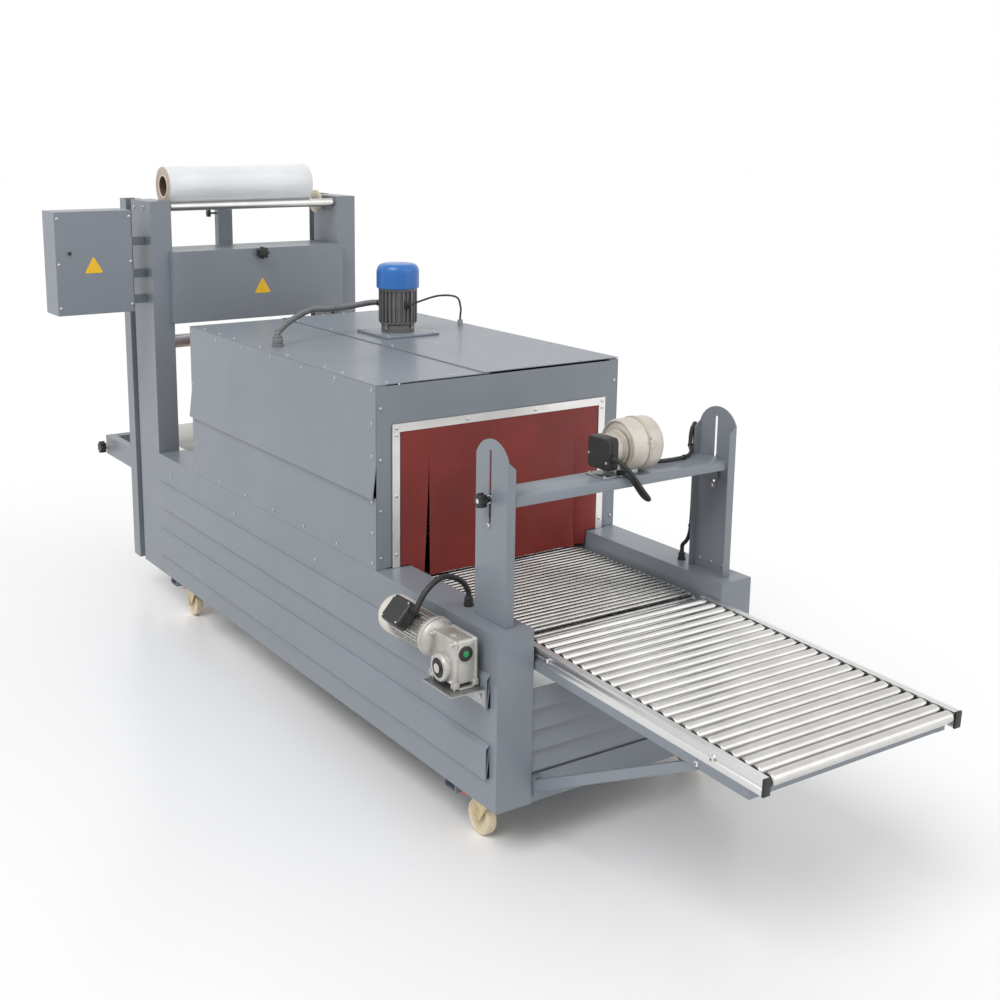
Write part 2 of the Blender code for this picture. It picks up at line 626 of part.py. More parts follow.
# Blower arms: folded channels with rounded tops and a slot
for s, label in ((-1, "left"), (1, "right")):
    z0 = Z_TOP + GAP
    yo = ARM_Y
    t = ARM_T
    half = (ARM_X1 - ARM_X0) / 2
    mid = (ARM_X0 + ARM_X1) / 2
    arc_r = (half ** 2 + ARM_RISE ** 2) / (2 * ARM_RISE)
    spread = math.asin(half / arc_r)
    crest = ARM_TOP - ARM_RISE
    outline = [(ARM_X0, z0), (ARM_X1, z0)]
    for i in range(11):
        a = spread - 2 * spread * i / 10
        outline.append((mid + arc_r * math.sin(a), ARM_TOP - arc_r + arc_r * math.cos(a)))
    web = prism(outline, "y", min(s * (yo - t), s * yo), max(s * (yo - t), s * yo))
    edges = []
    for x0, x1 in ((ARM_X0, ARM_X0 + t), (ARM_X1 - t, ARM_X1)):
        side = [(s * (yo - 0.001), z0), (s * (yo - ARM_FLANGE), z0), (s * (yo - ARM_FLANGE), crest - 0.022),
                (s * (yo - 0.001), crest - 0.001)]
        edges.append(prism(side, "x", x0, x1))
    slot = prism([(SLOT_X - SLOT_R, SLOT_Z0), (SLOT_X + SLOT_R, SLOT_Z0), (SLOT_X + SLOT_R, SLOT_Z1),
                  (SLOT_X - SLOT_R, SLOT_Z1)], "y", min(s * 0.3, s * 0.5), max(s * 0.3, s * 0.5))
    tops = rod("y", SLOT_X, SLOT_Z1, SLOT_R, min(s * 0.3, s * 0.5), max(s * 0.3, s * 0.5), 16)
    lows = rod("y", SLOT_X, SLOT_Z0, SLOT_R, min(s * 0.3, s * 0.5), max(s * 0.3, s * 0.5), 16)
    node("blower_arm_" + label, web, add=edges, cut=[slot, tops, lows])

# Blower beam: folded channel between the arms, with end plates, bolts and star knobs
slide = pivot("blower_slide", (SLOT_X, 0, BOLT_Z))
BX_A = 1.130
BX_B = 1.240 - 0.004
beam_low = BEAM_TOP - BEAM_H
beam_y = ARM_Y - ARM_FLANGE - 0.006
beam = prism(fold([(BX_A, beam_low), (BX_A, BEAM_TOP), (BX_B, BEAM_TOP), (BX_B, beam_low)], -SHEET), "y",
             -beam_y, beam_y)
extras = []
for s in (-1, 1):
    y0 = s * (beam_y - 0.003)
    y1 = s * beam_y
    extras.append(box(BX_A, BX_B, min(y0, y1), max(y0, y1), beam_low, BEAM_TOP))
    y2 = s * (ARM_Y + 0.052)
    extras.append(rod("y", SLOT_X, BOLT_Z, BOLT_R, min(y0, y2), max(y0, y2), 16))
    y3 = s * (ARM_Y + 0.026)
    extras.append(rod("y", SLOT_X, BOLT_Z, 0.023, min(y3, y2), max(y3, y2), 16))
    y4 = s * (ARM_Y + 0.0055)
    extras.append(rod("y", SLOT_X, BOLT_Z, 0.010, min(y3, y4), max(y3, y4), 16))
hang(node("blower_beam", beam, add=extras), slide)

# Blower: drum, motor and terminal box on the beam
DRUM_R = 0.0715
DRUM_X = 1.183
DRUM_Z = BEAM_TOP + GAP + DRUM_R + 0.0045
DRUM_Y0 = 0.010
DRUM_Y1 = 0.118
BOSS_R = 0.043
drum = turned("y", DRUM_X, DRUM_Z, [(0.066, DRUM_Y0), (DRUM_R, DRUM_Y0 + 0.004), (DRUM_R, 0.062), (DRUM_R + 0.003, 0.063),
                                    (DRUM_R + 0.003, 0.073), (DRUM_R, 0.074), (DRUM_R, DRUM_Y1 - 0.010),
                                    (DRUM_R - 0.012, DRUM_Y1)], 36)
saddle = box(DRUM_X - 0.036, DRUM_X + 0.036, 0.020, 0.056, BEAM_TOP + GAP, BEAM_TOP + 0.024)
hang(node("blower_drum", drum, add=[saddle], colour=CREAM, roughness=0.45, smooth=True), slide)
BOX_Y0 = -0.076
BOX_Y1 = -0.044
motor = turned("y", DRUM_X, DRUM_Z, [(BOSS_R - 0.003, BOX_Y1 + GAP), (BOSS_R, BOX_Y1 + 0.004),
                                     (BOSS_R, DRUM_Y0 - GAP)], 32)
foot = box(DRUM_X - 0.038, DRUM_X + 0.038, -0.082, -0.012, BEAM_TOP + GAP, BEAM_TOP + 0.005)
web = box(DRUM_X - 0.026, DRUM_X + 0.026, BOX_Y1 + 0.001, -0.016, BEAM_TOP + 0.003, DRUM_Z - 0.030)
hang(node("blower_motor", motor, add=[foot, web], colour=CREAM, roughness=0.45, smooth=True), slide)
c = 0.010
h = 0.046
corner = [(DRUM_X - h + c, DRUM_Z - h), (DRUM_X + h - c, DRUM_Z - h), (DRUM_X + h, DRUM_Z - h + c),
          (DRUM_X + h, DRUM_Z + h - c), (DRUM_X + h - c, DRUM_Z + h), (DRUM_X - h + c, DRUM_Z + h),
          (DRUM_X - h, DRUM_Z + h - c), (DRUM_X - h, DRUM_Z - h + c)]
hang(node("blower_terminal_box", prism(corner, "y", BOX_Y0, BOX_Y1), colour=BLACK), slide)
box_x = DRUM_X + h + GAP
run_z = BEAM_TOP + 0.0065
leg_x = ARM_X0 - 0.0095
cord("blower_cable", [
    (box_x, -0.060, DRUM_Z - 0.014), (box_x + 0.010, -0.060, DRUM_Z - 0.014), (1.264, -0.026, 1.000),
    (1.268, 0.028, 0.940), (1.266, 0.056, 0.908), (1.258, 0.040, 0.918), (1.240, 0.000, run_z + 0.001), (1.160, -0.001, run_z),
    (1.139, 0.030, run_z), (1.139, 0.110, run_z), (1.164, 0.190, run_z), (1.164, 0.272, run_z),
    (1.135, 0.325, run_z + 0.001), (1.099, 0.356, 0.985), (leg_x, 0.363, 1.020), (leg_x, 0.3705, 1.038),
    (leg_x, 0.3785, 1.018), (leg_x, 0.3775, 0.740), (1.056, 0.383, 0.668),
    (1.056, 0.383, Z_TOP + 0.022 + GAP)], 0.0052)

# Gearbox on a bracket, with the drive motor along the cabinet
GX0 = 1.106
GX1 = 1.226
GY0 = -0.546
GY1 = -HALF_W - BAND_OUT - 0.004
body_y0 = GY0 + 0.014
body_y1 = GY1 - 0.006
frame_pts = [(GX0 + 0.004, LOOP_Z - 0.042), (GX1 - 0.002, LOOP_Z - 0.042), (GX1 - 0.002, WORM_Z + 0.030),
             (GX1 - 0.008, WORM_Z + 0.036), (GX0 + 0.010, WORM_Z + 0.036), (GX0 + 0.004, WORM_Z + 0.030)]
case = prism(frame_pts, "y", body_y0, body_y1)
hub = turned("y", X_HEAD, LOOP_Z, [(0.030, GY0), (0.036, GY0 + 0.004), (0.038, body_y0 + 0.001),
                                   (0.038, body_y1 - 0.001), (0.034, GY1)], 28)
nose = rod("x", GEAR_Y, WORM_Z, 0.022, GX1 - 0.003, GX1 + 0.004, 24)
flange = rod("x", GEAR_Y, WORM_Z, 0.053, GX0 - 0.011, GX0 + 0.006, 28)
foot_z = LOOP_Z - 0.048
feet = [box(x0, x0 + 0.020, body_y0 - 0.003, body_y1 + 0.003, foot_z, LOOP_Z - 0.038)
        for x0 in (GX0 + 0.001, GX1 - 0.021)]
node("drive_gearbox", case, add=[hub, nose, flange] + feet,
     cut=[rod("y", X_HEAD, LOOP_Z, SHAFT_HOLE, GY0 - 0.05, GY1 + 0.05, 24)],
     colour=(0.55, 0.56, 0.57), metallic=0.7, roughness=0.45)
bz = foot_z - GAP
lip_y = -HALF_W - BAND_OUT + 0.0011
bracket_path = [(lip_y, 0.430), (lip_y, bz), (GY0 - 0.010, bz)]
node("gearbox_bracket", prism(fold(bracket_path, 0.0035), "x", GX0 + 0.004, 1.247))
MX1 = GX0 - 0.011 - GAP
MX0 = 0.872
motor = turned("x", GEAR_Y, WORM_Z, [(0.056, MX1), (0.056, MX1 - 0.012), (0.049, MX1 - 0.018),
                                     (0.049, MX0 + 0.056)], 32)
cowl = turned("x", GEAR_Y, WORM_Z, [(0.052, MX0 + 0.060), (0.055, MX0 + 0.056), (0.055, MX0 + 0.014),
                                    (0.044, MX0)], 32)
node("drive_motor", motor, add=[cowl], colour=(0.55, 0.56, 0.57), roughness=0.45, smooth=True)
# The terminal box sits on the motor's shoulder, turned outward by this angle from straight up
TILT = math.radians(48)
tilt_c = math.cos(TILT)
tilt_s = math.sin(TILT)


def tilted(along, across):
    """Point in the YZ plane: along the box's own axis out of the motor, and across it."""
    return (GEAR_Y - tilt_s * along + tilt_c * across, WORM_Z + tilt_c * along + tilt_s * across)


tb0 = 0.049 + GAP + 0.0004
tb1 = tb0 + 0.036
quad = [tilted(tb0, -0.038), tilted(tb0, 0.038), tilted(tb1 - 0.008, 0.038), tilted(tb1, 0.030),
        tilted(tb1, -0.030), tilted(tb1 - 0.008, -0.038)]
node("drive_terminal_box", prism(quad, "x", 0.948, 1.032), colour=BLACK)
cord_y, cord_z = tilted(tb0 + 0.018, 0.024)
cord("drive_cable", [(1.0324, cord_y, cord_z), (1.042, cord_y, cord_z), (1.045, -0.510, 0.684),
                     (1.043, -0.472, 0.711), (1.043, -0.434, 0.716), (1.047, -0.392, 0.694),
                     (1.050, -0.374, 0.662), (1.050, -0.374, Z_TOP + 0.024 + GAP)], 0.0078)

# Outfeed roller bed: rails, rollers and end caps, built level and then tilted about its inner end
rail_parts = []
for s in (-1, 1):
    y0 = s * (BED_Y - RAIL_T)
    y1 = s * BED_Y
    rail_parts.append(box(BED_X0, BED_X1, min(y0, y1), max(y0, y1), BED_Z1 - RAIL_H, BED_Z1))
rollers = [rod("y", ROLLER_X0 + 0.002 + i * ROLLER_PITCH, BED_Z1 - ROLLER_R + 0.002, ROLLER_R, -BED_Y + RAIL_T / 2,
               BED_Y - RAIL_T / 2, 12) for i in range(ROLLERS)]
caps = []
for s in (-1, 1):
    y0 = s * (BED_Y - RAIL_T - 0.001)
    y1 = s * (BED_Y + 0.001)
    caps.append(box(BED_X1 - 0.002, BED_X1 + 0.004, min(y0, y1), max(y0, y1), BED_Z1 - RAIL_H - 0.001, BED_Z1 + 0.001))
tilt = Matrix.Translation(Vector((BED_X0, 0, BED_Z1))) @ Matrix.Rotation(BED_SLOPE, 4, "Y") @ Matrix.Translation(
    Vector((-BED_X0, 0, -BED_Z1)))
bed = boolean(merged(rail_parts), merged(rollers), "UNION")
bed = boolean(bed, merged(caps), "UNION")
bed.transform(tilt)
node("roller_bed", bed, colour=STEEL, metallic=1.0, roughness=0.3)

# Painted sub-frame under the bed, bolted between the cabinets, with diagonal struts down to the end beam
SF_Z1 = BED_Z1 - RAIL_H - GAP
SF_Z0 = SF_Z1 - 0.024
sub = []
for s in (-1, 1):
    y0 = s * (BED_Y - 0.032)
    y1 = s * (BED_Y - 0.001)
    sub.append(box(X_END - 0.050, BED_X1 - 0.036, min(y0, y1), max(y0, y1), SF_Z0, SF_Z1))
cross = [box(x, x + 0.030, -BED_Y + 0.010, BED_Y - 0.010, SF_Z0 + 0.001, SF_Z1 - 0.001)
         for x in (X_END + 0.004, BED_X1 - 0.066)]
sub_mesh = boolean(merged(sub), merged(cross), "UNION")
sub_mesh.transform(tilt)
x_face = X_END - 0.004 + GAP
high = tilt @ Vector((1.862, 0, SF_Z0 + 0.008))
struts = []
for s in (-1, 1):
    y0 = s * (BED_Y - 0.024)
    y1 = s * (BED_Y - 0.004)
    strut = [(x_face, 0.176), (x_face + 0.012, 0.176), (high.x + 0.012, high.z - 0.014), (high.x + 0.012, high.z),
             (high.x - 0.012, high.z), (x_face, 0.202)]
    struts.append(prism(strut, "y", min(y0, y1), max(y0, y1)))
ears = []
for s in (-1, 1):
    y0 = s * (BED_Y - 0.027)
    y1 = s * (BED_Y - 0.003)
    ears.append(box(x_face, x_face + 0.008, min(y0, y1), max(y0, y1), 0.160, 0.215))
    y0 = s * (BED_Y - 0.010)
    y1 = s * INNER
    ears.append(box(X_END - 0.048, X_END - 0.012, min(y0, y1), max(y0, y1), SF_Z0 + 0.004, SF_Z1 - 0.006))
node("bed_subframe", sub_mesh, add=struts + ears)
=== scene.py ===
# %% [markdown]
# # A heat shrink machine
# The machine seals film round a product under the gantry and shrinks it tight in the heated tunnel. Its
# sheet metal, beams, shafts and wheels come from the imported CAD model. This script gives them finishes
# and adds what makes them look used and real: fasteners, rollers, rods, curtains, castings, cables and
# film.

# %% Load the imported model
import math

import bmesh
import bpy
from mathutils import Matrix, Vector


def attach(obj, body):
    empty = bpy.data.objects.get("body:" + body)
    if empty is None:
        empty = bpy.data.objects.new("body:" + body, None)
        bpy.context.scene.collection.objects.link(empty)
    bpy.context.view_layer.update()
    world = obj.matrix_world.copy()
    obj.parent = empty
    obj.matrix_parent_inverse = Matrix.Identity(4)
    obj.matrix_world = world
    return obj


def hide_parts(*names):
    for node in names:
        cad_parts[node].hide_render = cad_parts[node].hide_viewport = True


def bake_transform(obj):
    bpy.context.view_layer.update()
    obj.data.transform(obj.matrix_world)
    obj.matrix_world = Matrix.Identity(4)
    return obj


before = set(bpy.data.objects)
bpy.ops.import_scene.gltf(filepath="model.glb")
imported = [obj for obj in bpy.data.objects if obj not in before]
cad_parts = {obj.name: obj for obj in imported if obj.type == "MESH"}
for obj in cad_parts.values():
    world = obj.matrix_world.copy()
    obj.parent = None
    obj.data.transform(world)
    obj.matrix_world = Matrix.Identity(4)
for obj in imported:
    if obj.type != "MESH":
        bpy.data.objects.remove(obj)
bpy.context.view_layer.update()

# %% [markdown]
# The drawing's own zero is on the machine's centreline, which keeps left and right equal. The packed
# model's origin is the middle of the footprint, so every finished mesh is moved by SHIFT once, and its
# object stays at the origin. The sizes below are the ones that several steps share.

# %% Shared sizes
SHIFT = Vector((-0.21575, 0.177, 0.0))
GAP = 0.0004
HALF_W = 0.44
X_FRONT = 0.674
X_REAR = -0.652
Z_TOP = 0.625
ROOF_LEFT = 1.1685
ROOF_RIGHT = 1.1714
BEAM_TOP = 0.967
DRUM_X = 1.183
DRUM_Z = 1.0434
BOX_Y = -0.0222
BOX_Z = 1.0314
FAN_X = -0.100
FAN_Y = 0.102
FAN_Z = 1.1718
HEAD_X = 1.165
TAIL_X = -0.598
LOOP_R = 0.043
LOOP_Z = 0.527
GEAR_Y = -0.502
WORM_Z = 0.577
CASTERS = [(x, s * 0.375, f"{end}_{side}") for x, end in ((-0.815, "rear"), (1.160, "front"))
           for s, side in ((-1, "left"), (1, "right"))]

# %% [markdown]
# ## Camera, light and floor
# The camera stands where the photographer stood, a little above the roller table, and its shift frames
# the machine. A wide soft sun and an even white surround give the plain light of a catalogue picture. The
# floor is pale and slightly glossy, so that the casters get a soft shadow and a faint reflection.

# %% Camera
camera = bpy.data.cameras.new("camera")
camera.sensor_width = 36
camera.lens = 48.713
camera.shift_x = 0.07386
camera.shift_y = -0.08925
camera.clip_end = 100
eye = bpy.data.objects.new("camera", camera)
eye.matrix_world = Matrix((
    (0.53511827, -0.17659994, 0.82611192, 3.66576),
    (0.84477002, 0.10784823, -0.52414918, -2.12984),
    (0.00347001, 0.97835639, 0.20689789, 1.88101),
    (0, 0, 0, 1)))
bpy.context.scene.collection.objects.link(eye)
bpy.context.scene.camera = eye
bpy.context.scene.view_settings.view_transform = "Standard"
print("camera at", [round(v, 2) for v in eye.matrix_world.translation])

# %% [markdown]
# Node trees are easier to read as sums. Term wraps one socket, so that `1 - wear * 0.3` adds the Math
# nodes by itself, and Graph.add makes any other node from its type, its settings and what goes in its
# sockets. Both are used for materials and for Geometry Nodes.


# %% A small helper for node trees
class Term:
    def __init__(self, graph, socket):
        self.graph = graph
        self.socket = socket

    def math(self, operation, a, b):
        return self.graph.out(self.graph.add("ShaderNodeMath", {"operation": operation}, {0: a, 1: b}))

    def __add__(self, other):
        return self.math("ADD", self, other)

    __radd__ = __add__

    def __sub__(self, other):
        return self.math("SUBTRACT", self, other)

    def __rsub__(self, other):
        return self.math("SUBTRACT", other, self)

    def __mul__(self, other):
        return self.math("MULTIPLY", self, other)

    __rmul__ = __mul__

    def __gt__(self, other):
        return self.math("GREATER_THAN", self, other)

    def __lt__(self, other):
        return self.math("LESS_THAN", self, other)

    def power(self, other):
        return self.math("POWER", self, other)

    def sine(self):
        return self.math("SINE", self, 0.0)

    def blend(self, low, high, to_low=0.0, to_high=1.0):
        node = self.graph.add("ShaderNodeMapRange", {"interpolation_type": "SMOOTHSTEP"},
                              {0: self, 1: low, 2: high, 3: to_low, 4: to_high})
        return self.graph.out(node)


class Graph:
    def __init__(self, tree):
        self.tree = tree

    def add(self, kind, settings=None, inputs=None):
        node = self.tree.nodes.new(kind)
        for key, value in (settings or {}).items():
            setattr(node, key, value)
        for key, value in (inputs or {}).items():
            if isinstance(value, Term):
                self.tree.links.new(value.socket, node.inputs[key])
            else:
                node.inputs[key].default_value = value
        return node

    def out(self, node, key=0):
        return Term(self, node.outputs[key])

    def noise(self, place, scale, detail=3.0, rough=0.5):
        node = self.add("ShaderNodeTexNoise", None,
                        {"Vector": place, "Scale": scale, "Detail": detail, "Roughness": rough})
        return self.out(node)

    def stretched(self, place, factors):
        return self.out(self.add("ShaderNodeMapping", None, {"Vector": place, "Scale": factors}))

    def mix(self, factor, a, b):
        node = self.add("ShaderNodeMix", {"data_type": "RGBA"}, {0: factor, 6: a, 7: b})
        return self.out(node, 2)


# %% [markdown]
# ## Finishes
# One function builds the kinds of finish that this machine has. The base colour drifts a little between
# two tones, the roughness is cloudy as on handled metal, a fine grain gives paint its orange peel and
# castings their sand, and a streak runs along what was rolled, drawn or turned. A Bevel node rounds the
# light on sharp CAD edges. Patches repaint part of a piece by where it is, such as the knob at the end of
# a bolt.


# %% The finish function
def tone(colour, factor):
    return (*[min(1.0, c * factor) for c in colour], 1.0)


def finish(name, colour, metallic=0.0, rough=0.4, drift=0.06, cloud=5.0, smear=0.08, grain=0.0,
           grain_depth=0.0, streak=None, streak_depth=0.0, edge=0.0, coat=0.0, patches=()):
    mat = bpy.data.materials.new(name)
    mat.use_nodes = True
    graph = Graph(mat.node_tree)
    shader = mat.node_tree.nodes["Principled BSDF"]
    place = graph.out(graph.add("ShaderNodeTexCoord"), "Object")
    patchy = graph.noise(place, cloud, 4.0, 0.6)
    colours = graph.mix(patchy.blend(0.35, 0.65), tone(colour, 1 - drift), tone(colour, 1 + drift))
    roughness = (graph.noise(place, cloud * 3.1, 5.0, 0.65) - 0.5) * (2 * smear) + rough
    height = None
    if grain:
        height = graph.noise(place, grain, 2.0) * grain_depth
    if streak:
        lines = graph.noise(graph.stretched(place, streak), 1.0, 4.0, 0.7)
        roughness = roughness + (lines - 0.5) * 0.16
        height = lines * streak_depth if height is None else height + lines * streak_depth
    shine = metallic
    if patches:
        axes = graph.add("ShaderNodeSeparateXYZ", None, {0: place})
        x, y, z = [graph.out(axes, k) - SHIFT[k] for k in range(3)]
        for mask_of, patch_colour, patch_metallic, patch_rough in patches:
            mask = mask_of(x, y, z)
            colours = graph.mix(mask, colours, (*patch_colour, 1.0))
            shine = mask * (patch_metallic - shine) + shine if isinstance(shine, float) else (
                mask * patch_metallic + (1 - mask) * shine)
            roughness = mask * patch_rough + (1 - mask) * roughness
    mat.node_tree.links.new(colours.socket, shader.inputs["Base Color"])
    mat.node_tree.links.new(roughness.socket, shader.inputs["Roughness"])
    if isinstance(shine, Term):
        mat.node_tree.links.new(shine.socket, shader.inputs["Metallic"])
    else:
        shader.inputs["Metallic"].default_value = shine
    shader.inputs["Coat Weight"].default_value = coat
    shader.inputs["Coat Roughness"].default_value = 0.12
    normal = None
    if edge:
        normal = graph.out(graph.add("ShaderNodeBevel", {"samples": 4}, {"Radius": edge}))
    if height is not None:
        inputs = {"Strength": 1.0, "Distance": 0.001, "Height": height}
        if normal is not None:
            inputs["Normal"] = normal
        normal = graph.out(graph.add("ShaderNodeBump", None, inputs))
    if normal is not None:
        mat.node_tree.links.new(normal.socket, shader.inputs["Normal"])
    return mat


# %% [markdown]
# The sheet metal is sprayed in one grey-blue, semi-gloss and slightly pebbled. Knobs, bolts and the lock
# are part of the painted CAD pieces, so their places are given as patches of black plastic or plated
# steel.

# %% Paint and plastics
GREY_BLUE = (0.212, 0.236, 0.268)
BLACK = (0.012, 0.012, 0.013)
PLATED = (0.62, 0.61, 0.59)
black_knob = (BLACK, 0.0, 0.42)
plated = (PLATED, 1.0, 0.3)


def painted(name, patches=()):
    return finish(name, GREY_BLUE, rough=0.40, drift=0.035, cloud=2.3, smear=0.05, grain=520.0,
                  grain_depth=0.05, edge=0.0016, coat=0.15, patches=patches)


paint = painted("grey_blue_paint")
cover_paint = painted("cover_paint", [(lambda x, y, z: x > -0.9695, *black_knob)])
column_paint = painted("column_paint", [(lambda x, y, z: y < -0.0785, *black_knob)])
door_paint = painted("door_paint", [(lambda x, y, z: x > -0.9992, *black_knob)])
infeed_paint = painted("infeed_paint", [
    (lambda x, y, z: y < -0.4468, *plated),
    (lambda x, y, z: y < -0.4628, *black_knob)])
cabinet_paint = painted("cabinet_paint", [(lambda x, y, z: z > 0.6256, BLACK, 0.0, 0.4)])
roof_paint = painted("roof_paint", [(lambda x, y, z: z > 1.1722, (0.30, 0.31, 0.32), 0.0, 0.45)])
blue = finish("blue_plastic", (0.004, 0.135, 0.46), rough=0.34, drift=0.03, grain=700.0, grain_depth=0.03,
              coat=0.3)
black_plastic = finish("black_plastic", BLACK, rough=0.42, drift=0.15, grain=900.0, grain_depth=0.06,
                       edge=0.001)
rubber = finish("black_cable_sheath", (0.014, 0.014, 0.015), rough=0.46, drift=0.2, cloud=30.0,
                grain=1200.0, grain_depth=0.02)
conduit_grey = finish("grey_conduit_plastic", (0.20, 0.205, 0.21), 0.25, 0.38, drift=0.10, cloud=30.0)
wheel_plastic = finish("cream_wheel_plastic", (0.70, 0.60, 0.42), rough=0.38, drift=0.06, cloud=30.0,
                       grain=600.0, grain_depth=0.02)
cream_disc = finish("cream_nylon", (0.74, 0.66, 0.50), rough=0.4, drift=0.05, cloud=20.0)
orange = finish("orange_plastic", (0.72, 0.10, 0.012), rough=0.4, drift=0.05, cloud=30.0)
green = finish("green_plug_plastic", (0.01, 0.27, 0.07), rough=0.35)
yellow = finish("yellow_plate_film", (0.86, 0.52, 0.012), rough=0.35, drift=0.03)
off_white = finish("off_white_cowl_paint", (0.66, 0.63, 0.56), rough=0.38, drift=0.04, cloud=14.0,
                   grain=800.0, grain_depth=0.03)
# Real black plastic for the bearings and cable ties; the same black is also painted shade in the screw
# recesses and the motor's grille.
black_parts_and_painted_shade = finish("black_plastic_and_painted_shade", (0.008, 0.008, 0.009), rough=0.55)
print("paints and plastics ready")

# %% [markdown]
# Bare metals differ mostly in how they were made. Rollers and rods are turned or drawn, so their streaks
# run round or along them. Rails are extruded aluminium, castings are sandy and dull, the forks have a
# yellow zinc coat, and screws are bright.

# %% Metals
steel = finish("turned_steel", (0.60, 0.59, 0.575), 1.0, 0.24, drift=0.05, cloud=9.0, smear=0.05,
               streak=(60.0, 900.0, 60.0), streak_depth=0.02)
rod_steel = finish("drawn_rod_steel", (0.56, 0.55, 0.53), 1.0, 0.28, drift=0.08, cloud=25.0,
                   streak=(300.0, 14.0, 300.0), streak_depth=0.015)
aluminium = finish("extruded_aluminium", (0.70, 0.70, 0.695), 1.0, 0.34, drift=0.03, cloud=6.0, smear=0.05,
                   streak=(8.0, 420.0, 420.0), streak_depth=0.012, edge=0.0008)
strip_metal = finish("aluminium_strip", (0.74, 0.73, 0.71), 1.0, 0.36, drift=0.04, cloud=12.0,
                     streak=(60.0, 40.0, 40.0), streak_depth=0.008, edge=0.0008)
cast = finish("cast_aluminium", (0.50, 0.485, 0.455), 0.75, 0.44, drift=0.10, cloud=22.0, smear=0.10,
              grain=420.0, grain_depth=0.22, edge=0.0016)
zinc = finish("yellow_zinc", (0.66, 0.55, 0.33), 1.0, 0.30, drift=0.16, cloud=26.0, smear=0.08,
              edge=0.0008)
screw_metal = finish("bright_zinc", (0.66, 0.655, 0.64), 1.0, 0.28, drift=0.05, cloud=60.0)
drum_paint = finish("pale_beige_enamel", (0.56, 0.52, 0.46), 0.35, 0.34, drift=0.05, cloud=12.0, smear=0.06,
                    grain=700.0, grain_depth=0.04, edge=0.001, coat=0.2)
fan_paint = finish("dark_grey_enamel", (0.17, 0.168, 0.168), 0.35, 0.42, drift=0.10, cloud=14.0,
                   grain=500.0, grain_depth=0.10, edge=0.0012)
# A near-black sheet that stands for the shade between the conveyor rods: painted shade.
rod_gap_shade = finish("painted_shade_sheet", (0.016, 0.015, 0.014), 0.3, 0.62, drift=0.3, cloud=9.0)
plate_steel = finish("galvanised_plate", (0.44, 0.45, 0.45), 1.0, 0.42, drift=0.10, cloud=26.0,
                     edge=0.001)
print("metals ready")

# %% [markdown]
# The curtain is a red coated cloth that hangs in the hot air of the tunnel. It has a fine weave under the
# coating and darker bands where it has been folded. The belt is a pale woven one, the film is milky where
# many layers lie on each other, and its core is plain cardboard, darker inside the tube as painted shade.


# %% Soft materials
def woven(name, colour, rough, pitch, depth, drift, cloud):
    mat = finish(name, colour, rough=rough, drift=drift, cloud=cloud, smear=0.07)
    graph = Graph(mat.node_tree)
    shader = mat.node_tree.nodes["Principled BSDF"]
    place = graph.out(graph.add("ShaderNodeTexCoord"), "Object")
    axes = graph.add("ShaderNodeSeparateXYZ", None, {0: place})
    across = (graph.out(axes, 1) * (2 * math.pi / pitch)).sine()
    along = ((graph.out(axes, 2) + graph.out(axes, 0)) * (2 * math.pi / pitch)).sine()
    slow = graph.noise(graph.stretched(place, (1.0, 26.0, 2.2)), 1.0, 3.0)
    height = across * along * depth + slow * 1.2
    bump = graph.add("ShaderNodeBump", None, {"Strength": 0.6, "Distance": 0.001, "Height": height})
    mat.node_tree.links.new(bump.outputs[0], shader.inputs["Normal"])
    return mat


curtain_cloth = woven("red_coated_cloth", (0.205, 0.020, 0.014), 0.50, 0.0016, 0.08, 0.14, 4.0)
belt_cloth = woven("pale_belt_cloth", (0.62, 0.61, 0.57), 0.62, 0.0022, 0.10, 0.06, 7.0)
film_wrap = finish("wound_film", (0.74, 0.76, 0.775), rough=0.20, drift=0.05, cloud=3.0, smear=0.08,
                   streak=(5.0, 60.0, 5.0), streak_depth=0.35, coat=0.7)
film_side = finish("film_roll_end", (0.47, 0.385, 0.30), rough=0.38, drift=0.05, cloud=50.0,
                   grain=300.0, grain_depth=0.3, coat=0.3)
core_rim = finish("core_rim", (0.72, 0.66, 0.55), rough=0.7, drift=0.06, cloud=30.0)
# Cardboard brown, darkened as painted shade: it lines the inside of the core tube.
cardboard_with_painted_shade = finish("core_cardboard_in_painted_shade", (0.13, 0.085, 0.055), rough=0.8, drift=0.08, cloud=30.0,
                   grain=500.0, grain_depth=0.2)
print("soft materials ready")

# %% [markdown]
# The floor and the surround belong to the picture, not to the machine. The surround is pure white to the
# camera and in reflections, and a little dimmer as a light.

# %% Floor and light
floor_mesh = bpy.data.meshes.new("floor")
floor_mesh.from_pydata([(-40, -40, 0), (40, -40, 0), (40, 40, 0), (-40, 40, 0)], [], [(0, 1, 2, 3)])
floor = bpy.data.objects.new("floor", floor_mesh)
bpy.context.scene.collection.objects.link(floor)
floor_paint = finish("pale_floor", (0.93, 0.93, 0.935), rough=0.26, drift=0.0, smear=0.0)
floor_mesh.materials.append(floor_paint)

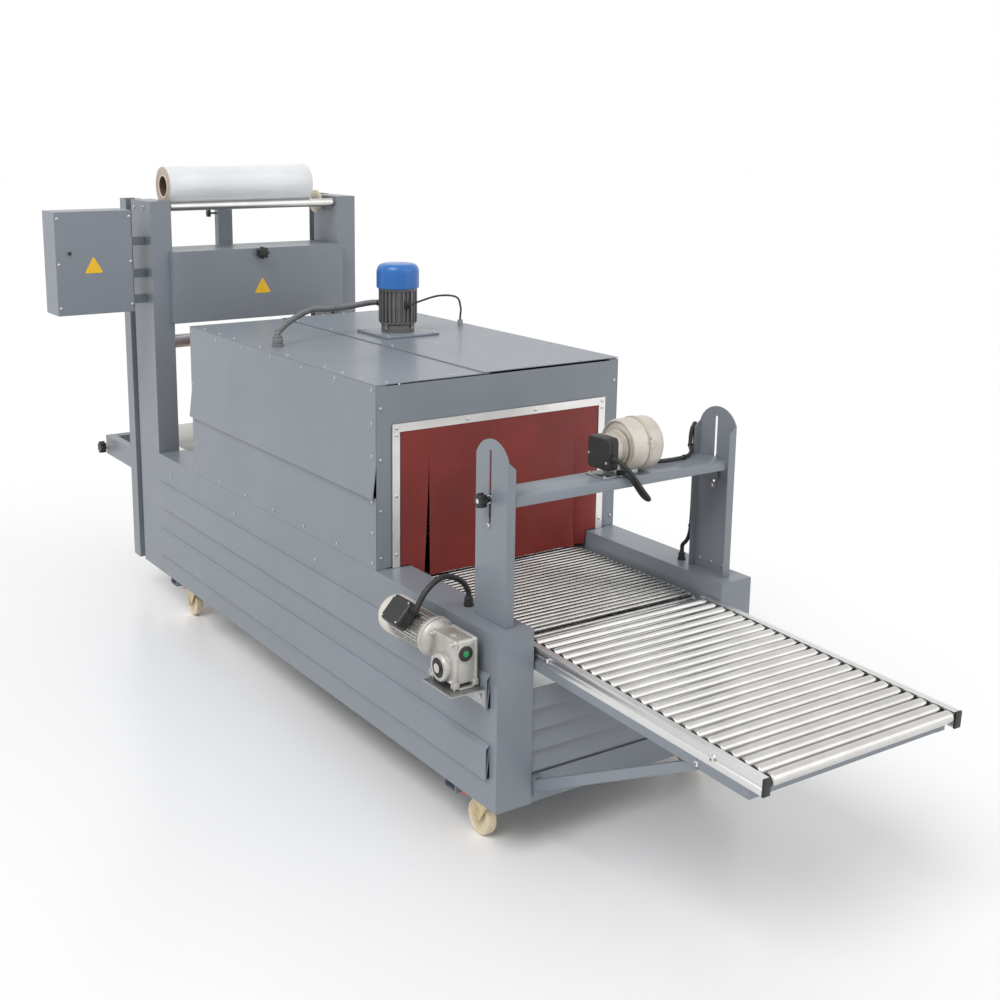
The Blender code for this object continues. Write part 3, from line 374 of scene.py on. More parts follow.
world = bpy.data.worlds.new("surround")
bpy.context.scene.world = world
world.use_nodes = True
sky = Graph(world.node_tree)
background = world.node_tree.nodes["Background"]
rays = sky.add("ShaderNodeLightPath")
seen = (sky.out(rays, "Is Camera Ray") + sky.out(rays, "Is Glossy Ray")
        + sky.out(rays, "Is Transmission Ray"))
strength = seen.blend(0.0, 1.0, 0.62, 1.0)
world.node_tree.links.new(strength.socket, background.inputs["Strength"])
background.inputs["Color"].default_value = (1.0, 1.0, 1.0, 1.0)
for label, power, angle, turn in (("key", 1.55, 35, (38, 0, 20)), ("side", 0.55, 60, (60, 0, 118))):
    sun = bpy.data.lights.new(label, "SUN")
    sun.energy = power
    sun.angle = math.radians(angle)
    lamp = bpy.data.objects.new(label, sun)
    lamp.rotation_euler = [math.radians(a) for a in turn]
    bpy.context.scene.collection.objects.link(lamp)
print("floor, surround and two soft suns ready")

# %% [markdown]
# ## The painted and plated CAD pieces
# The folded sheets, beams, shafts and forks already have their true shape, so they only take a finish
# here.

# %% Finishes on CAD pieces
CAD_FINISHES = {
    paint: ["end_panel", "caster_beam_rear", "caster_beam_front", "gantry_post_left", "gantry_post_right",
            "control_box", "infeed_side_right", "tunnel_side_left", "tunnel_side_right",
            "tunnel_front_wall", "tunnel_rear_wall", "blower_arm_left", "blower_arm_right", "bed_subframe"],
    cover_paint: ["gantry_cover"],
    column_paint: ["sealing_column"],
    door_paint: ["control_box_cover"],
    infeed_paint: ["infeed_side_left"],
    cabinet_paint: ["side_cabinet_left", "side_cabinet_right"],
    roof_paint: ["tunnel_roof_left", "tunnel_roof_right"],
    plate_steel: ["gearbox_bracket"],
    steel: ["conveyor_head_shaft", "conveyor_tail_shaft"],
    aluminium: ["infeed_bed"],
    strip_metal: ["curtain_frame_front", "curtain_frame_rear"],
    zinc: ["caster_fork_" + tag for x, y, tag in CASTERS],
    belt_cloth: ["infeed_belt"],
}
for material, names in CAD_FINISHES.items():
    for node_name in names:
        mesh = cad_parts[node_name].data
        mesh.materials.clear()
        mesh.materials.append(material)
print(sum(len(names) for names in CAD_FINISHES.values()), "CAD pieces have their finish")

# %% [markdown]
# ## Building in mesh code
# New pieces are made of closed solids gathered in one mesh: turned parts, extruded outlines with rounded
# edges, and tubes along a smooth path. Each solid may have its own finish. The faces are turned outward
# solid by solid, and the mesh is moved into place before it rides on its body.


# %% A gatherer for solids
def spot(axis, u, v, w):
    return {"x": (w, u, v), "y": (u, w, v), "z": (u, v, w)}[axis]


def circle(u, v, r, sides, turn=0.0):
    step = 2 * math.pi / sides
    return [(u + r * math.cos(turn + i * step), v + r * math.sin(turn + i * step)) for i in range(sides)]


def hoop(centre, side, other, r, sides):
    angles = [2 * math.pi * k / sides for k in range(sides)]
    return [centre + (side * math.cos(a) + other * math.sin(a)) * r for a in angles]


def slid(profile, start):
    return [(r, start + w) for r, w in profile]


def quads(rows, sides, closed=False):
    """Faces between neighbouring rings of vertices. A closed set also joins the last ring to the first."""
    faces = []
    for i in range(rows if closed else rows - 1):
        n = (i + 1) % rows
        for k in range(sides):
            j = (k + 1) % sides
            faces.append((i * sides + k, i * sides + j, n * sides + j, n * sides + k))
    return faces


class Piece:
    def __init__(self, name, body, slot):
        self.name = name
        self.body = body
        self.slot = slot
        self.bm = bmesh.new()
        self.finishes = []

    def solid(self, verts, faces, material, rounding=0.0, segments=2):
        if material not in self.finishes:
            self.finishes.append(material)
        part = bmesh.new()
        made = [part.verts.new(v) for v in verts]
        for face in faces:
            part.faces.new([made[i] for i in face])
        bmesh.ops.recalc_face_normals(part, faces=part.faces)
        if rounding:
            part.normal_update()
            sharp = [e for e in part.edges if e.calc_face_angle(0.0) > 0.6]
            bmesh.ops.bevel(part, geom=sharp, offset=rounding, segments=segments, profile=0.5,
                            affect="EDGES", clamp_overlap=True)
        for face in part.faces:
            face.material_index = self.finishes.index(material)
        mesh = bpy.data.meshes.new("part")
        part.to_mesh(mesh)
        part.free()
        self.bm.from_mesh(mesh)
        bpy.data.meshes.remove(mesh)

    def turned(self, axis, u, v, profile, material, sides=40):
        verts = []
        rows = []
        for r, w in profile:
            if r == 0:
                rows.append([len(verts)] * sides)
                verts.append(spot(axis, u, v, w))
            else:
                rows.append(list(range(len(verts), len(verts) + sides)))
                verts += [spot(axis, a, b, w) for a, b in circle(u, v, r, sides)]
        faces = []
        for low, high in zip(rows, rows[1:]):
            for i in range(sides):
                j = (i + 1) % sides
                corners = []
                for index in (low[i], low[j], high[j], high[i]):
                    if index not in corners:
                        corners.append(index)
                if len(corners) > 2:
                    faces.append(corners)
        for row in (rows[0], rows[-1]):
            if len(set(row)) > 2:
                faces.append(row)
        self.solid(verts, faces, material)

    def hollow(self, axis, u, v, outline, material, sides=64):
        """A closed ring of revolution, from (radius, along) points that go once round its section."""
        verts = []
        for r, w in outline:
            verts += [spot(axis, a, b, w) for a, b in circle(u, v, r, sides)]
        self.solid(verts, quads(len(outline), sides, True), material)

    def pin(self, axis, u, v, r, start, end, material, sides=12):
        self.turned(axis, u, v, [(0.0, start), (r, start), (r, end), (0.0, end)], material, sides)

    def ring(self, axis, u, v, r_in, r_out, start, end, material, sides=40):
        self.hollow(axis, u, v, [(r_in, start), (r_out, start), (r_out, end), (r_in, end)], material, sides)

    def prism(self, outline, axis, low, high, material, rounding=0.0, segments=2):
        count = len(outline)
        verts = [spot(axis, u, v, w) for w in (low, high) for u, v in outline]
        faces = [tuple(range(count)), tuple(range(count, 2 * count))]
        self.solid(verts, faces + quads(2, count), material, rounding, segments)

    def block(self, x0, x1, y0, y1, z0, z1, material, rounding=0.0, segments=2):
        self.prism([(x0, y0), (x1, y0), (x1, y1), (x0, y1)], "z", z0, z1, material, rounding, segments)

    def tube(self, points, r, material, sides=12):
        verts = []
        normal = None
        for i, point in enumerate(points):
            ahead = points[min(i + 1, len(points) - 1)] - points[max(i - 1, 0)]
            ahead.normalize()
            if normal is None:
                normal = ahead.orthogonal().normalized()
            normal = (normal - ahead * normal.dot(ahead)).normalized()
            verts += hoop(point, normal, ahead.cross(normal), r, sides)
        faces = [tuple(range(sides)), tuple(range(len(verts) - sides, len(verts)))]
        self.solid(verts, faces + quads(len(points), sides), material)

    def done(self, *stands_for, angle=35):
        mesh = bpy.data.meshes.new(self.name)
        self.bm.to_mesh(mesh)
        self.bm.free()
        for material in self.finishes:
            mesh.materials.append(material)
        return settle(mesh, self.name, self.body, stands_for, angle)


def settle(mesh, name, body, stands_for=(), angle=35):
    mesh.transform(Matrix.Translation(SHIFT))
    mesh.shade_smooth()
    mesh.set_sharp_from_angle(angle=math.radians(angle))
    obj = bpy.data.objects.new(name, mesh)
    bpy.context.scene.collection.objects.link(obj)
    if body:
        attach(obj, body)
    if stands_for:
        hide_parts(*stands_for)
    print(f"{name}: {len(mesh.polygons)} faces")
    return obj


# %% [markdown]
# ## Geometry Nodes for what repeats
# A tree gets a mesh of points, or makes its own, and ends in Realize Instances. The result is read back
# as a plain mesh, so nothing live is left on the piece.


# %% Running a tree
def new_tree(name, sockets):
    tree = bpy.data.node_groups.new(name, "GeometryNodeTree")
    tree.interface.new_socket("Geometry", in_out="INPUT", socket_type="NodeSocketGeometry")
    tree.interface.new_socket("Geometry", in_out="OUTPUT", socket_type="NodeSocketGeometry")
    for label, kind, value in sockets:
        socket = tree.interface.new_socket(label, in_out="INPUT", socket_type=kind)
        socket.default_value = value
    graph = Graph(tree)
    graph.start = graph.add("NodeGroupInput")
    return tree, graph


def close_tree(graph, geometry):
    solid = graph.out(graph.add("GeometryNodeRealizeInstances", None, {0: geometry}))
    end = graph.add("NodeGroupOutput")
    graph.tree.links.new(solid.socket, end.inputs[0])


def evaluated(holder):
    bpy.context.view_layer.update()
    mesh = bpy.data.meshes.new_from_object(holder.evaluated_get(bpy.context.evaluated_depsgraph_get()))
    bpy.data.objects.remove(holder)
    return mesh


def grow(tree, source=None, **values):
    holder = bpy.data.objects.new("holder", source or bpy.data.meshes.new("seed"))
    bpy.context.scene.collection.objects.link(holder)
    modifier = holder.modifiers.new("grow", "NODES")
    modifier.node_group = tree
    for item in tree.interface.items_tree:
        if item.item_type == "SOCKET" and item.in_out == "INPUT" and item.name in values:
            modifier[item.identifier] = values[item.name]
    return evaluated(holder)


def points_mesh(places, facings=None, sizes=None, edges=(), loop=False):
    mesh = bpy.data.meshes.new("places")
    if loop:
        edges = [(i, (i + 1) % len(places)) for i in range(len(places))]
    mesh.from_pydata(places, edges, [])
    if facings:
        attribute = mesh.attributes.new("facing", "FLOAT_VECTOR", "POINT")
        attribute.data.foreach_set("vector", [c for f in facings for c in f])
        attribute = mesh.attributes.new("head", "FLOAT", "POINT")
        attribute.data.foreach_set("value", sizes)
    return mesh


def painted_with(graph, geometry, material):
    return graph.out(graph.add("GeometryNodeSetMaterial", None, {0: geometry, 2: material}))


def joined(graph, *parts):
    node = graph.add("GeometryNodeJoinGeometry")
    for part in parts:
        graph.tree.links.new(part.socket, node.inputs[0])
    return graph.out(node)


def moved(graph, geometry, shift=(0, 0, 0), turn=(0, 0, 0)):
    return graph.out(graph.add("GeometryNodeTransform", None,
                               {0: geometry, "Translation": shift, "Rotation": turn}))


def cylinder(graph, radius, depth, sides):
    return graph.out(graph.add("GeometryNodeMeshCylinder", None,
                               {"Vertices": sides, "Side Segments": 1, "Fill Segments": 1,
                                "Radius": radius, "Depth": depth}))


# %% [markdown]
# ### Screws
# Every panel is held by pan-head screws, and their bright heads are what the eye reads as real sheet
# metal. One head is modelled a single metre wide, with a domed top and a black hexagon on it that is
# painted shade for the recess, and it is set on every place with its own direction and size.

# %% The screw tree
screw_tree, g = new_tree("screw heads", [])
barrel = moved(g, cylinder(g, 0.5, 0.3, 16), (0, 0, 0.15))
dome = g.out(g.add("GeometryNodeMeshCone", None, {"Vertices": 16, "Radius Top": 0.30, "Radius Bottom": 0.5,
                                                 "Depth": 0.13, "Side Segments": 1, "Fill Segments": 1}))
head = painted_with(g, joined(g, barrel, moved(g, dome, (0, 0, 0.299))), screw_metal)
# The recess is not cut into the dome: a thin black hexagon on top is painted shade.
recess_shade = painted_with(g, moved(g, cylinder(g, 0.19, 0.02, 6), (0, 0, 0.425)), black_parts_and_painted_shade)
points = g.out(g.add("GeometryNodeMeshToPoints", None, {0: g.out(g.start)}))
facing = g.out(g.add("GeometryNodeInputNamedAttribute", {"data_type": "FLOAT_VECTOR"}, {"Name": "facing"}))
width = g.out(g.add("GeometryNodeInputNamedAttribute", {"data_type": "FLOAT"}, {"Name": "head"}))
turn = g.out(g.add("FunctionNodeAlignRotationToVector", {"axis": "Z"}, {"Vector": facing}))
heads = g.out(g.add("GeometryNodeInstanceOnPoints", None,
                    {"Points": points, "Instance": joined(g, head, recess_shade), "Rotation": turn,
                     "Scale": width}))
close_tree(g, heads)


def screws(name, body, rows):
    """rows: (direction, head width, [places])"""
    places = [p for facing, size, group in rows for p in group]
    facings = [facing for facing, size, group in rows for p in group]
    sizes = [size for facing, size, group in rows for p in group]
    mesh = grow(screw_tree, points_mesh(places, facings, sizes))
    settle(mesh, name, body)


# %% [markdown]
# The tunnel is screwed together along its corners, the roof sheets along their edges, and the aluminium
# strip holds the curtain with ten more. Bigger bolts sit on the posts, the arms, the bed rails and the
# fan's plate.

# %% Screws on the tunnel, posts and base
tunnel_rows = []
front_x = X_FRONT - 0.019
rear_x = X_REAR + 0.019
edges_x = (-0.549, -0.424, -0.304, 0.10, 0.346, 0.456, 0.574)
for s in (-1, 1):
    side = [(x, s * HALF_W, z) for x in (front_x, rear_x)
            for z in (1.152, 1.056, 0.961, 0.827, 0.735, 0.645)]
    side += [(rear_x + k * 0.2147, s * HALF_W, z) for k in range(1, 6) for z in (1.152, 0.645)]
    tunnel_rows.append(((0, s, 0), 0.009, side))
ends_x = (X_FRONT - 0.018, X_REAR + 0.018)
left_roof = [(x, y, ROOF_LEFT) for x in ends_x for y in (-0.393, -0.283, -0.177)]
left_roof += [(x, -0.425, ROOF_LEFT) for x in sorted((*edges_x, -0.10))]
right_roof = [(x, y, ROOF_RIGHT) for x in ends_x for y in (0.094, 0.181, 0.302)]
right_roof += [(x, 0.425, ROOF_RIGHT) for x in edges_x]
right_roof += [(x, -0.052, ROOF_RIGHT) for x in (-0.56, -0.30, 0.12, 0.34, 0.56)]
tunnel_rows.append(((0, 0, 1), 0.009, left_roof + right_roof))
strip = [(-0.3755, 1.039), (-0.3755, 1.018), (-0.132, 1.039), (0.116, 1.039), (0.3755, 1.039),
         (0.3755, 1.018), (-0.3755, 0.84), (-0.3755, 0.665), (0.3755, 0.84), (0.3755, 0.658)]
tunnel_rows.append(((1, 0, 0), 0.009, [(X_FRONT + 0.006, y, z) for y, z in strip]))
tunnel_rows.append(((-1, 0, 0), 0.009, [(X_REAR - 0.006, y, z) for y, z in strip]))
corners = [(s * 0.425, z) for s in (-1, 1) for z in (0.66, 0.80, 0.95, 1.10)]
tunnel_rows.append(((1, 0, 0), 0.008, [(X_FRONT, y, z) for y, z in corners]))
tunnel_rows.append(((-1, 0, 0), 0.008, [(X_REAR, y, z) for y, z in corners]))
screws("tunnel_screws", "machine", tunnel_rows)

base_rows = []
for s in (-1, 1):
    side = (0, s, 0)
    base_rows.append((side, 0.014, [(-1.162, s * HALF_W, 1.568), (-1.063, s * HALF_W, 1.572)]))
    base_rows.append((side, 0.010, [(x, s * HALF_W, 0.555) for x in (-0.882, -0.30, 0.30, 0.80)]))
    base_rows.append((side, 0.014, [(1.330, s * 0.322, 0.5544), (1.920, s * 0.322, 0.5348),
                                    (1.873, s * 0.321, 0.504)]))
base_rows.append(((0, -1, 0), 0.013, [(1.164, -0.391, 0.881), (1.164, 0.388, 0.877)]))
for s in (1, -1):
    base_rows.append(((0, -s, 0), 0.009, [(x, s * 0.388, 0.650) for x in (1.128, 1.172, 1.216)]))
base_rows.append(((0, -1, 0), 0.011, [(1.186, -0.4544, 0.452), (1.224, -0.4544, 0.452)]))
door = [(y, z) for y in (-0.797, -0.525) for z in (1.543, 1.376, 1.215)]
base_rows.append(((1, 0, 0), 0.010, [(-1.0, y, z) for y, z in door]))
base_rows.append(((0, 0, 1), 0.012, [(FAN_X + a * 0.090, FAN_Y + b * 0.090, FAN_Z + 0.008)
                                     for a in (-1, 1) for b in (-1, 1)]))
for x, y, tag in CASTERS:
    base_rows.append(((0, 0, -1), 0.012, [(x + a * 0.043, y + b * 0.033, 0.1346)
                                          for a in (-1, 1) for b in (-1, 1)]))
screws("machine_screws", "machine", base_rows)
screws("blower_screws", "blower_head", [
    ((0, 0, 1), 0.009, [(DRUM_X + a * 0.030, -0.055, BEAM_TOP + 0.005) for a in (-1, 1)]),
    ((0, -1, 0), 0.008, [(DRUM_X + a * 0.0355, BOX_Y - 0.0335, BOX_Z + b * 0.028)
                         for a, b in ((-1, -0.2), (1, -0.75))])])

# %% [markdown]
# ## Outfeed roller bed
# Twenty-three steel rollers run between two aluminium rails, each on a black bearing, and the whole bed
# falls a little towards the person who takes the parcels off. The rollers are a row of instances. The
# rails are extruded with a groove in their outer face and closed by black caps.

# %% Rollers
BED_X = 1.222
BED_Z = 0.578
BED_SLOPE = math.radians(1.9)
RAIL_IN = 0.302
RAIL_Y = 0.322
ROLLER_COUNT = 23
ROLLER_PITCH = 0.0370
ROLLER_R = 0.0155
bed_tilt = Matrix.Translation(Vector((BED_X, 0, BED_Z))) @ Matrix.Rotation(BED_SLOPE, 4, "Y")
roller_tree, g = new_tree("roller row", [
    ("Count", "NodeSocketInt", ROLLER_COUNT), ("Pitch", "NodeSocketFloat", ROLLER_PITCH),
    ("Radius", "NodeSocketFloat", ROLLER_R)])
count, pitch, radius = [g.out(g.start, key) for key in ("Count", "Pitch", "Radius")]
step = g.out(g.add("ShaderNodeCombineXYZ", None, {0: pitch}))
row = g.out(g.add("GeometryNodeMeshLine", None,
                  {"Count": count, "Start Location": (0.020, 0, -0.0135), "Offset": step}))
on_side = (math.pi / 2, 0, 0)
shell = painted_with(g, moved(g, cylinder(g, radius, 0.584, 32), turn=on_side), steel)
lip = painted_with(g, moved(g, cylinder(g, radius * 0.93, 0.590, 32), turn=on_side), steel)
bearing = painted_with(g, moved(g, cylinder(g, radius * 0.72, 0.598, 20), turn=on_side), black_parts_and_painted_shade)
axle = painted_with(g, moved(g, cylinder(g, 0.0045, 0.612, 12), turn=on_side), screw_metal)
rollers = g.out(g.add("GeometryNodeInstanceOnPoints", None,
                      {"Points": row, "Instance": joined(g, shell, lip, bearing, axle)}))
close_tree(g, rollers)
roller_mesh = grow(roller_tree, Count=ROLLER_COUNT, Pitch=ROLLER_PITCH, Radius=ROLLER_R)
roller_mesh.transform(bed_tilt)
settle(roller_mesh, "outfeed_rollers", "machine")

# %% Rails and caps
rails = Piece("outfeed_rails", "machine", "bright_steel")
section = [(RAIL_IN, -0.040), (RAIL_Y, -0.040), (RAIL_Y, -0.0235), (0.3205, -0.0225), (0.3205, -0.0175),
           (RAIL_Y, -0.0165), (RAIL_Y, 0.0), (RAIL_IN, 0.0), (RAIL_IN, -0.004), (0.3045, -0.005),
           (0.3045, -0.035), (RAIL_IN, -0.036)]
for s in (-1, 1):
    rails.prism([(s * y, z) for y, z in section], "x", 0.0, 0.846, aluminium, 0.0006, 1)
    y0, y1 = sorted((s * (RAIL_IN - 0.001), s * (RAIL_Y + 0.001)))
    rails.block(0.844, 0.850, y0, y1, -0.041, 0.001, black_plastic, 0.0015)
rails.bm.transform(bed_tilt)
rails.done("roller_bed")

# %% [markdown]
# ## Rod conveyor
# In the tunnel the product rides on thin steel rods that two chains carry round. The loop is drawn once
# as a closed line, resampled to the number of rods or links, and one rod or one link is set on each
# point.

# %% Rods and chains
ROD_COUNT = 180
loop = []
for x, start in ((HEAD_X, -90), (TAIL_X, 90)):
    for k in range(13):
        a = math.radians(start + k * 15)
        loop.append((x + LOOP_R * math.cos(a), 0.0, LOOP_Z + LOOP_R * math.sin(a)))
loop_line = points_mesh(loop, loop=True)


def loop_tree(name, link_of, follow):
    tree, graph = new_tree(name, [("Count", "NodeSocketInt", ROD_COUNT)])
    line = graph.out(graph.add("GeometryNodeMeshToCurve", None, {0: graph.out(graph.start)}))
    even = graph.out(graph.add("GeometryNodeResampleCurve", None,
                               {"Curve": line, "Count": graph.out(graph.start, "Count")}))
    inputs = {"Points": even, "Instance": link_of(graph)}
    if follow:
        tangent = graph.out(graph.add("GeometryNodeInputTangent"))
        inputs["Rotation"] = graph.out(graph.add("FunctionNodeAlignRotationToVector", {"axis": "X"},
                                                 {"Vector": tangent}))
    close_tree(graph, graph.out(graph.add("GeometryNodeInstanceOnPoints", None, inputs)))
    return tree


def one_rod(graph):
    return painted_with(graph, moved(graph, cylinder(graph, 0.005, 0.600, 12), turn=on_side), rod_steel)


def one_link(graph):
    parts = []
    for side in (-1, 1):
        pin = moved(graph, cylinder(graph, 0.0042, 0.010, 10), (0, side * 0.306, 0), on_side)
        plate = graph.out(graph.add("GeometryNodeMeshCube", None, {"Size": (0.0185, 0.0072, 0.0085)}))
        parts += [pin, moved(graph, plate, (0, side * 0.306, 0))]
    return painted_with(graph, joined(graph, *parts), plate_steel)


rod_mesh = grow(loop_tree("conveyor rods", one_rod, False), loop_line, Count=ROD_COUNT)
settle(rod_mesh, "conveyor_rods", "machine", ["rod_conveyor"])
link_mesh = grow(loop_tree("chain links", one_link, True), points_mesh(loop, loop=True), Count=ROD_COUNT)
settle(link_mesh, "conveyor_chains", "machine")

# %% [markdown]
# ## Curtains
# Each end of the tunnel is closed by one red sheet with two slits, so that a parcel can push through. The
# sheet is a fine grid with gentle folds. Along the slits it is really cut: the narrow left strip swings
# aside, and the edge by the right slit curls up a little, as in the picture. It hangs behind the
# aluminium strip.


# %% Hang the curtains
def curtain(name, x_face, sign, node_name):
    columns = 121
    rows = 61
    width = 0.72
    top = 1.048
    low_mid = 0.5855
    low_side = 0.6295
    left_y = -0.262
    left_top = 0.960
    right_y = 0.267
    right_top = 0.985
    slits = ((left_y, left_top), (right_y, right_top))
    bm = bmesh.new()
    grid = {}

    def strip_of(y):
        return sum(1 for slit_y, slit_z in slits if y > slit_y)

    def corner(i, j, strip):
        y = -width / 2 + width * i / (columns - 1)
        low = low_mid if abs(y) < 0.3201 else low_side
        z = top + (low - top) * j / (rows - 1)
        open_here = 0
        for slit_y, slit_z in slits:
            if abs(y - slit_y) < 0.0031 and z < slit_z:
                open_here = strip + 1
        key = (i, j, open_here)
        if key not in grid:
            hang = (top - z) / (top - low_mid)
            wave = 0.0022 * math.sin(y * 23.0 + 0.6) + 0.0012 * math.sin(y * 57.0 + 2.0)
            x = 0.0042 + hang * (0.0022 + wave)
            side_y = y
            if z < left_top:
                fall = (left_top - z) / 0.375
                if strip == 0:
                    near = max(0.0, (y + width / 2) / 0.098)
                    side_y -= 0.024 * fall ** 1.4 * near
                    x += 0.010 * fall ** 2 * near
                elif strip == 1:
                    near = max(0.0, 1 - (y - left_y) / 0.05)
                    x += 0.004 * fall * near
            if z < right_top:
                fall = (right_top - z) / 0.40
                if strip == 1:
                    near = max(0.0, 1 - (right_y - y) / 0.045)
                    x += 0.011 * fall ** 3 * near ** 2
                    side_y -= 0.004 * fall ** 2 * near
                elif strip == 2:
                    near = max(0.0, 1 - (y - right_y) / 0.080)
                    x -= 0.011 * min(1.0, fall * 1.6) * near
            grid[key] = bm.verts.new((x_face + sign * x, side_y, z))
        return grid[key]

    for i in range(columns - 1):
        y_mid = -width / 2 + width * (i + 0.5) / (columns - 1)
        strip = strip_of(y_mid)
        for j in range(rows - 1):
            bm.faces.new([corner(i, j, strip), corner(i + 1, j, strip), corner(i + 1, j + 1, strip),
                          corner(i, j + 1, strip)])
    bmesh.ops.recalc_face_normals(bm, faces=bm.faces)
    mesh = bpy.data.meshes.new(name)
    bm.to_mesh(mesh)
    bm.free()
    mesh.materials.append(curtain_cloth)
    holder = bpy.data.objects.new("holder", mesh)
    bpy.context.scene.collection.objects.link(holder)
    wall = holder.modifiers.new("thickness", "SOLIDIFY")
    wall.thickness = 0.0012
    wall.offset = 0.0
    sheet = settle(evaluated(holder), name, "machine", [node_name], angle=60)


curtain("front_curtain_sheet", X_FRONT, 1, "curtain_front")
curtain("rear_curtain_sheet", X_REAR, -1, "curtain_rear")

# %% [markdown]
# ## Film roll
# The roll lies loose on its two support rollers and turns as the film is drawn off. It is a thick ring
# round a cardboard core. Its ends show the edges of the layers, a little uneven, so they get their own
# finish.

# %% Wind the film
FILM_X = -1.080
FILM_Z = 1.580 + math.sqrt(0.0836 ** 2 - 0.050 ** 2)
FILM_R = 0.0745
SUPPORT_R = 0.016
SUPPORT_Z = FILM_Z - math.sqrt((FILM_R + SUPPORT_R + 0.0006) ** 2 - 0.050 ** 2)
DISC_Y = 0.329
roll = Piece("film_winding", "film", "film")
wall = [(-0.0006, -0.3535), (0.0, -0.3525), (-0.0002, -0.20), (-0.0005, 0.0), (-0.0002, 0.15),
        (0.0, 0.2505), (-0.0006, 0.2515)]
section = [(FILM_R + r, y) for r, y in wall] + [(0.0455, 0.2505), (0.0455, -0.3525)]
roll.hollow("y", FILM_X, FILM_Z, section, film_wrap, 96)
roll.done("film_roll")
ends = Piece("film_edges", "film", "film")
for y, out in ((-0.3530, -1), (0.2510, 1)):
    width = FILM_R - 0.0468
    rings = [(0.0465 + width * k / 16, y + out * (0.0006 + 0.0005 * math.sin(k * 2.4))) for k in range(17)]
    rings += [(0.0465 + width, y - out * 0.0006), (0.0465, y - out * 0.0006)]
    ends.hollow("y", FILM_X, FILM_Z, rings, film_side)
ends.done()
core = Piece("film_core_tube", "film", "film")
core.ring("y", FILM_X, FILM_Z, 0.0388, 0.0450, -0.3545, 0.2525, core_rim, 64)
# The bore is lined with the darker cardboard: painted shade inside the tube.
core.ring("y", FILM_X, FILM_Z, 0.0380, 0.0387, -0.3525, 0.2505, cardboard_with_painted_shade, 64)
core.done()

# %% [markdown]
# The two support rollers are turned steel tubes on thin axles. The rear one carries a cream disc that
# keeps the roll from wandering sideways.

# %% Support rollers
for label, x in (("rear", -1.130), ("front", -1.030)):
    support = Piece("film_roller_" + label, "machine", "bright_steel")
    r = SUPPORT_R
    half = [(0.0, 0.3566), (0.006, 0.3566), (0.006, 0.3505), (r - 0.001, 0.3500), (r, 0.3490)]
    support.turned("y", x, SUPPORT_Z, [(q, -y) for q, y in half] + half[::-1], steel, 40)
    if label == "rear":
        half = [(r + 0.0003, 0.0150), (0.030, 0.0150), (0.033, 0.0125), (0.0445, 0.0065), (0.0460, 0.0040)]
        disc = [(q, DISC_Y - w) for q, w in half] + [(q, DISC_Y + w) for q, w in reversed(half)]
        support.hollow("y", x, SUPPORT_Z, disc, cream_disc, 56)
    support.done("film_support_" + label)

# %% [markdown]
# ## Roof fan
# The fan's motor stands on a square plate. Its cast body has cooling fins all round, made as a ring of
# instances, a flange below and a blue plastic cowl with a rounded rim on top.


# %% Fins for motors
def fin_ring(count, inner, outer, length, thickness, material):
    tree, graph = new_tree("cooling fins", [("Count", "NodeSocketInt", count)])
    ring = graph.out(graph.add("GeometryNodeMeshCircle", None, {
        "Vertices": graph.out(graph.start, "Count"), "Radius": (inner + outer) / 2}))
    fin = graph.out(graph.add("GeometryNodeMeshCube", None, {"Size": (outer - inner, thickness, length)}))
    radial = graph.out(graph.add("GeometryNodeInputPosition"))
    turn = graph.out(graph.add("FunctionNodeAlignRotationToVector", {"axis": "X"}, {"Vector": radial}))
    fins = graph.out(graph.add("GeometryNodeInstanceOnPoints", None,
                               {"Points": ring, "Instance": fin, "Rotation": turn}))
    close_tree(graph, painted_with(graph, fins, material))
    return grow(tree, Count=count)


# %% Fan body and cap
fan = Piece("fan_motor_body", "machine", "grey_motor")
fan.block(FAN_X - 0.104, FAN_X + 0.104, FAN_Y - 0.104, FAN_Y + 0.104, FAN_Z, FAN_Z + 0.008, paint, 0.0012)
profile = [(0.0, 0.0075), (0.0565, 0.0075), (0.0575, 0.010), (0.0575, 0.0335), (0.0560, 0.0355),
           (0.0600, 0.0365), (0.0640, 0.0400), (0.0640, 0.0430), (0.0575, 0.0440), (0.0575, 0.150),
           (0.0660, 0.151), (0.0670, 0.153), (0.0670, 0.159), (0.0, 0.159)]
fan.turned("z", FAN_X, FAN_Y, slid(profile, FAN_Z), fan_paint, 64)
for k in range(4):
    a = math.radians(20 + 90 * k)
    x = FAN_X + 0.0620 * math.cos(a)
    y = FAN_Y + 0.0620 * math.sin(a)
    fan.pin("z", x, y, 0.0055, FAN_Z + 0.028, FAN_Z + 0.040, fan_paint)
    fan.pin("z", x, y, 0.0040, FAN_Z + 0.0235, FAN_Z + 0.0285, screw_metal, 6)
    fan.block(x - 0.0035, x + 0.0035, y - 0.0035, y + 0.0035, FAN_Z + 0.044, FAN_Z + 0.151,
              fan_paint, 0.0012)
fan.turned("x", FAN_Y - 0.030, FAN_Z + 0.100, slid([
    (0.0, -0.0802), (0.0110, -0.0802), (0.0110, -0.0720), (0.0130, -0.0715), (0.0130, -0.0640),
    (0.0110, -0.0635), (0.0110, -0.045), (0.0, -0.045)], FAN_X), black_plastic, 16)
fan.block(FAN_X + 0.050, FAN_X + 0.0700, FAN_Y - 0.012, FAN_Y + 0.012, FAN_Z + 0.093, FAN_Z + 0.117,
          black_plastic, 0.002)
fins = fin_ring(26, 0.0565, 0.0665, 0.107, 0.0042, fan_paint)
fins.transform(Matrix.Translation((FAN_X, FAN_Y, FAN_Z + 0.0970)))
fan.bm.from_mesh(fins)
fan.done("fan_motor")
cap = Piece("fan_cap_shell", "machine", "blue_cap")
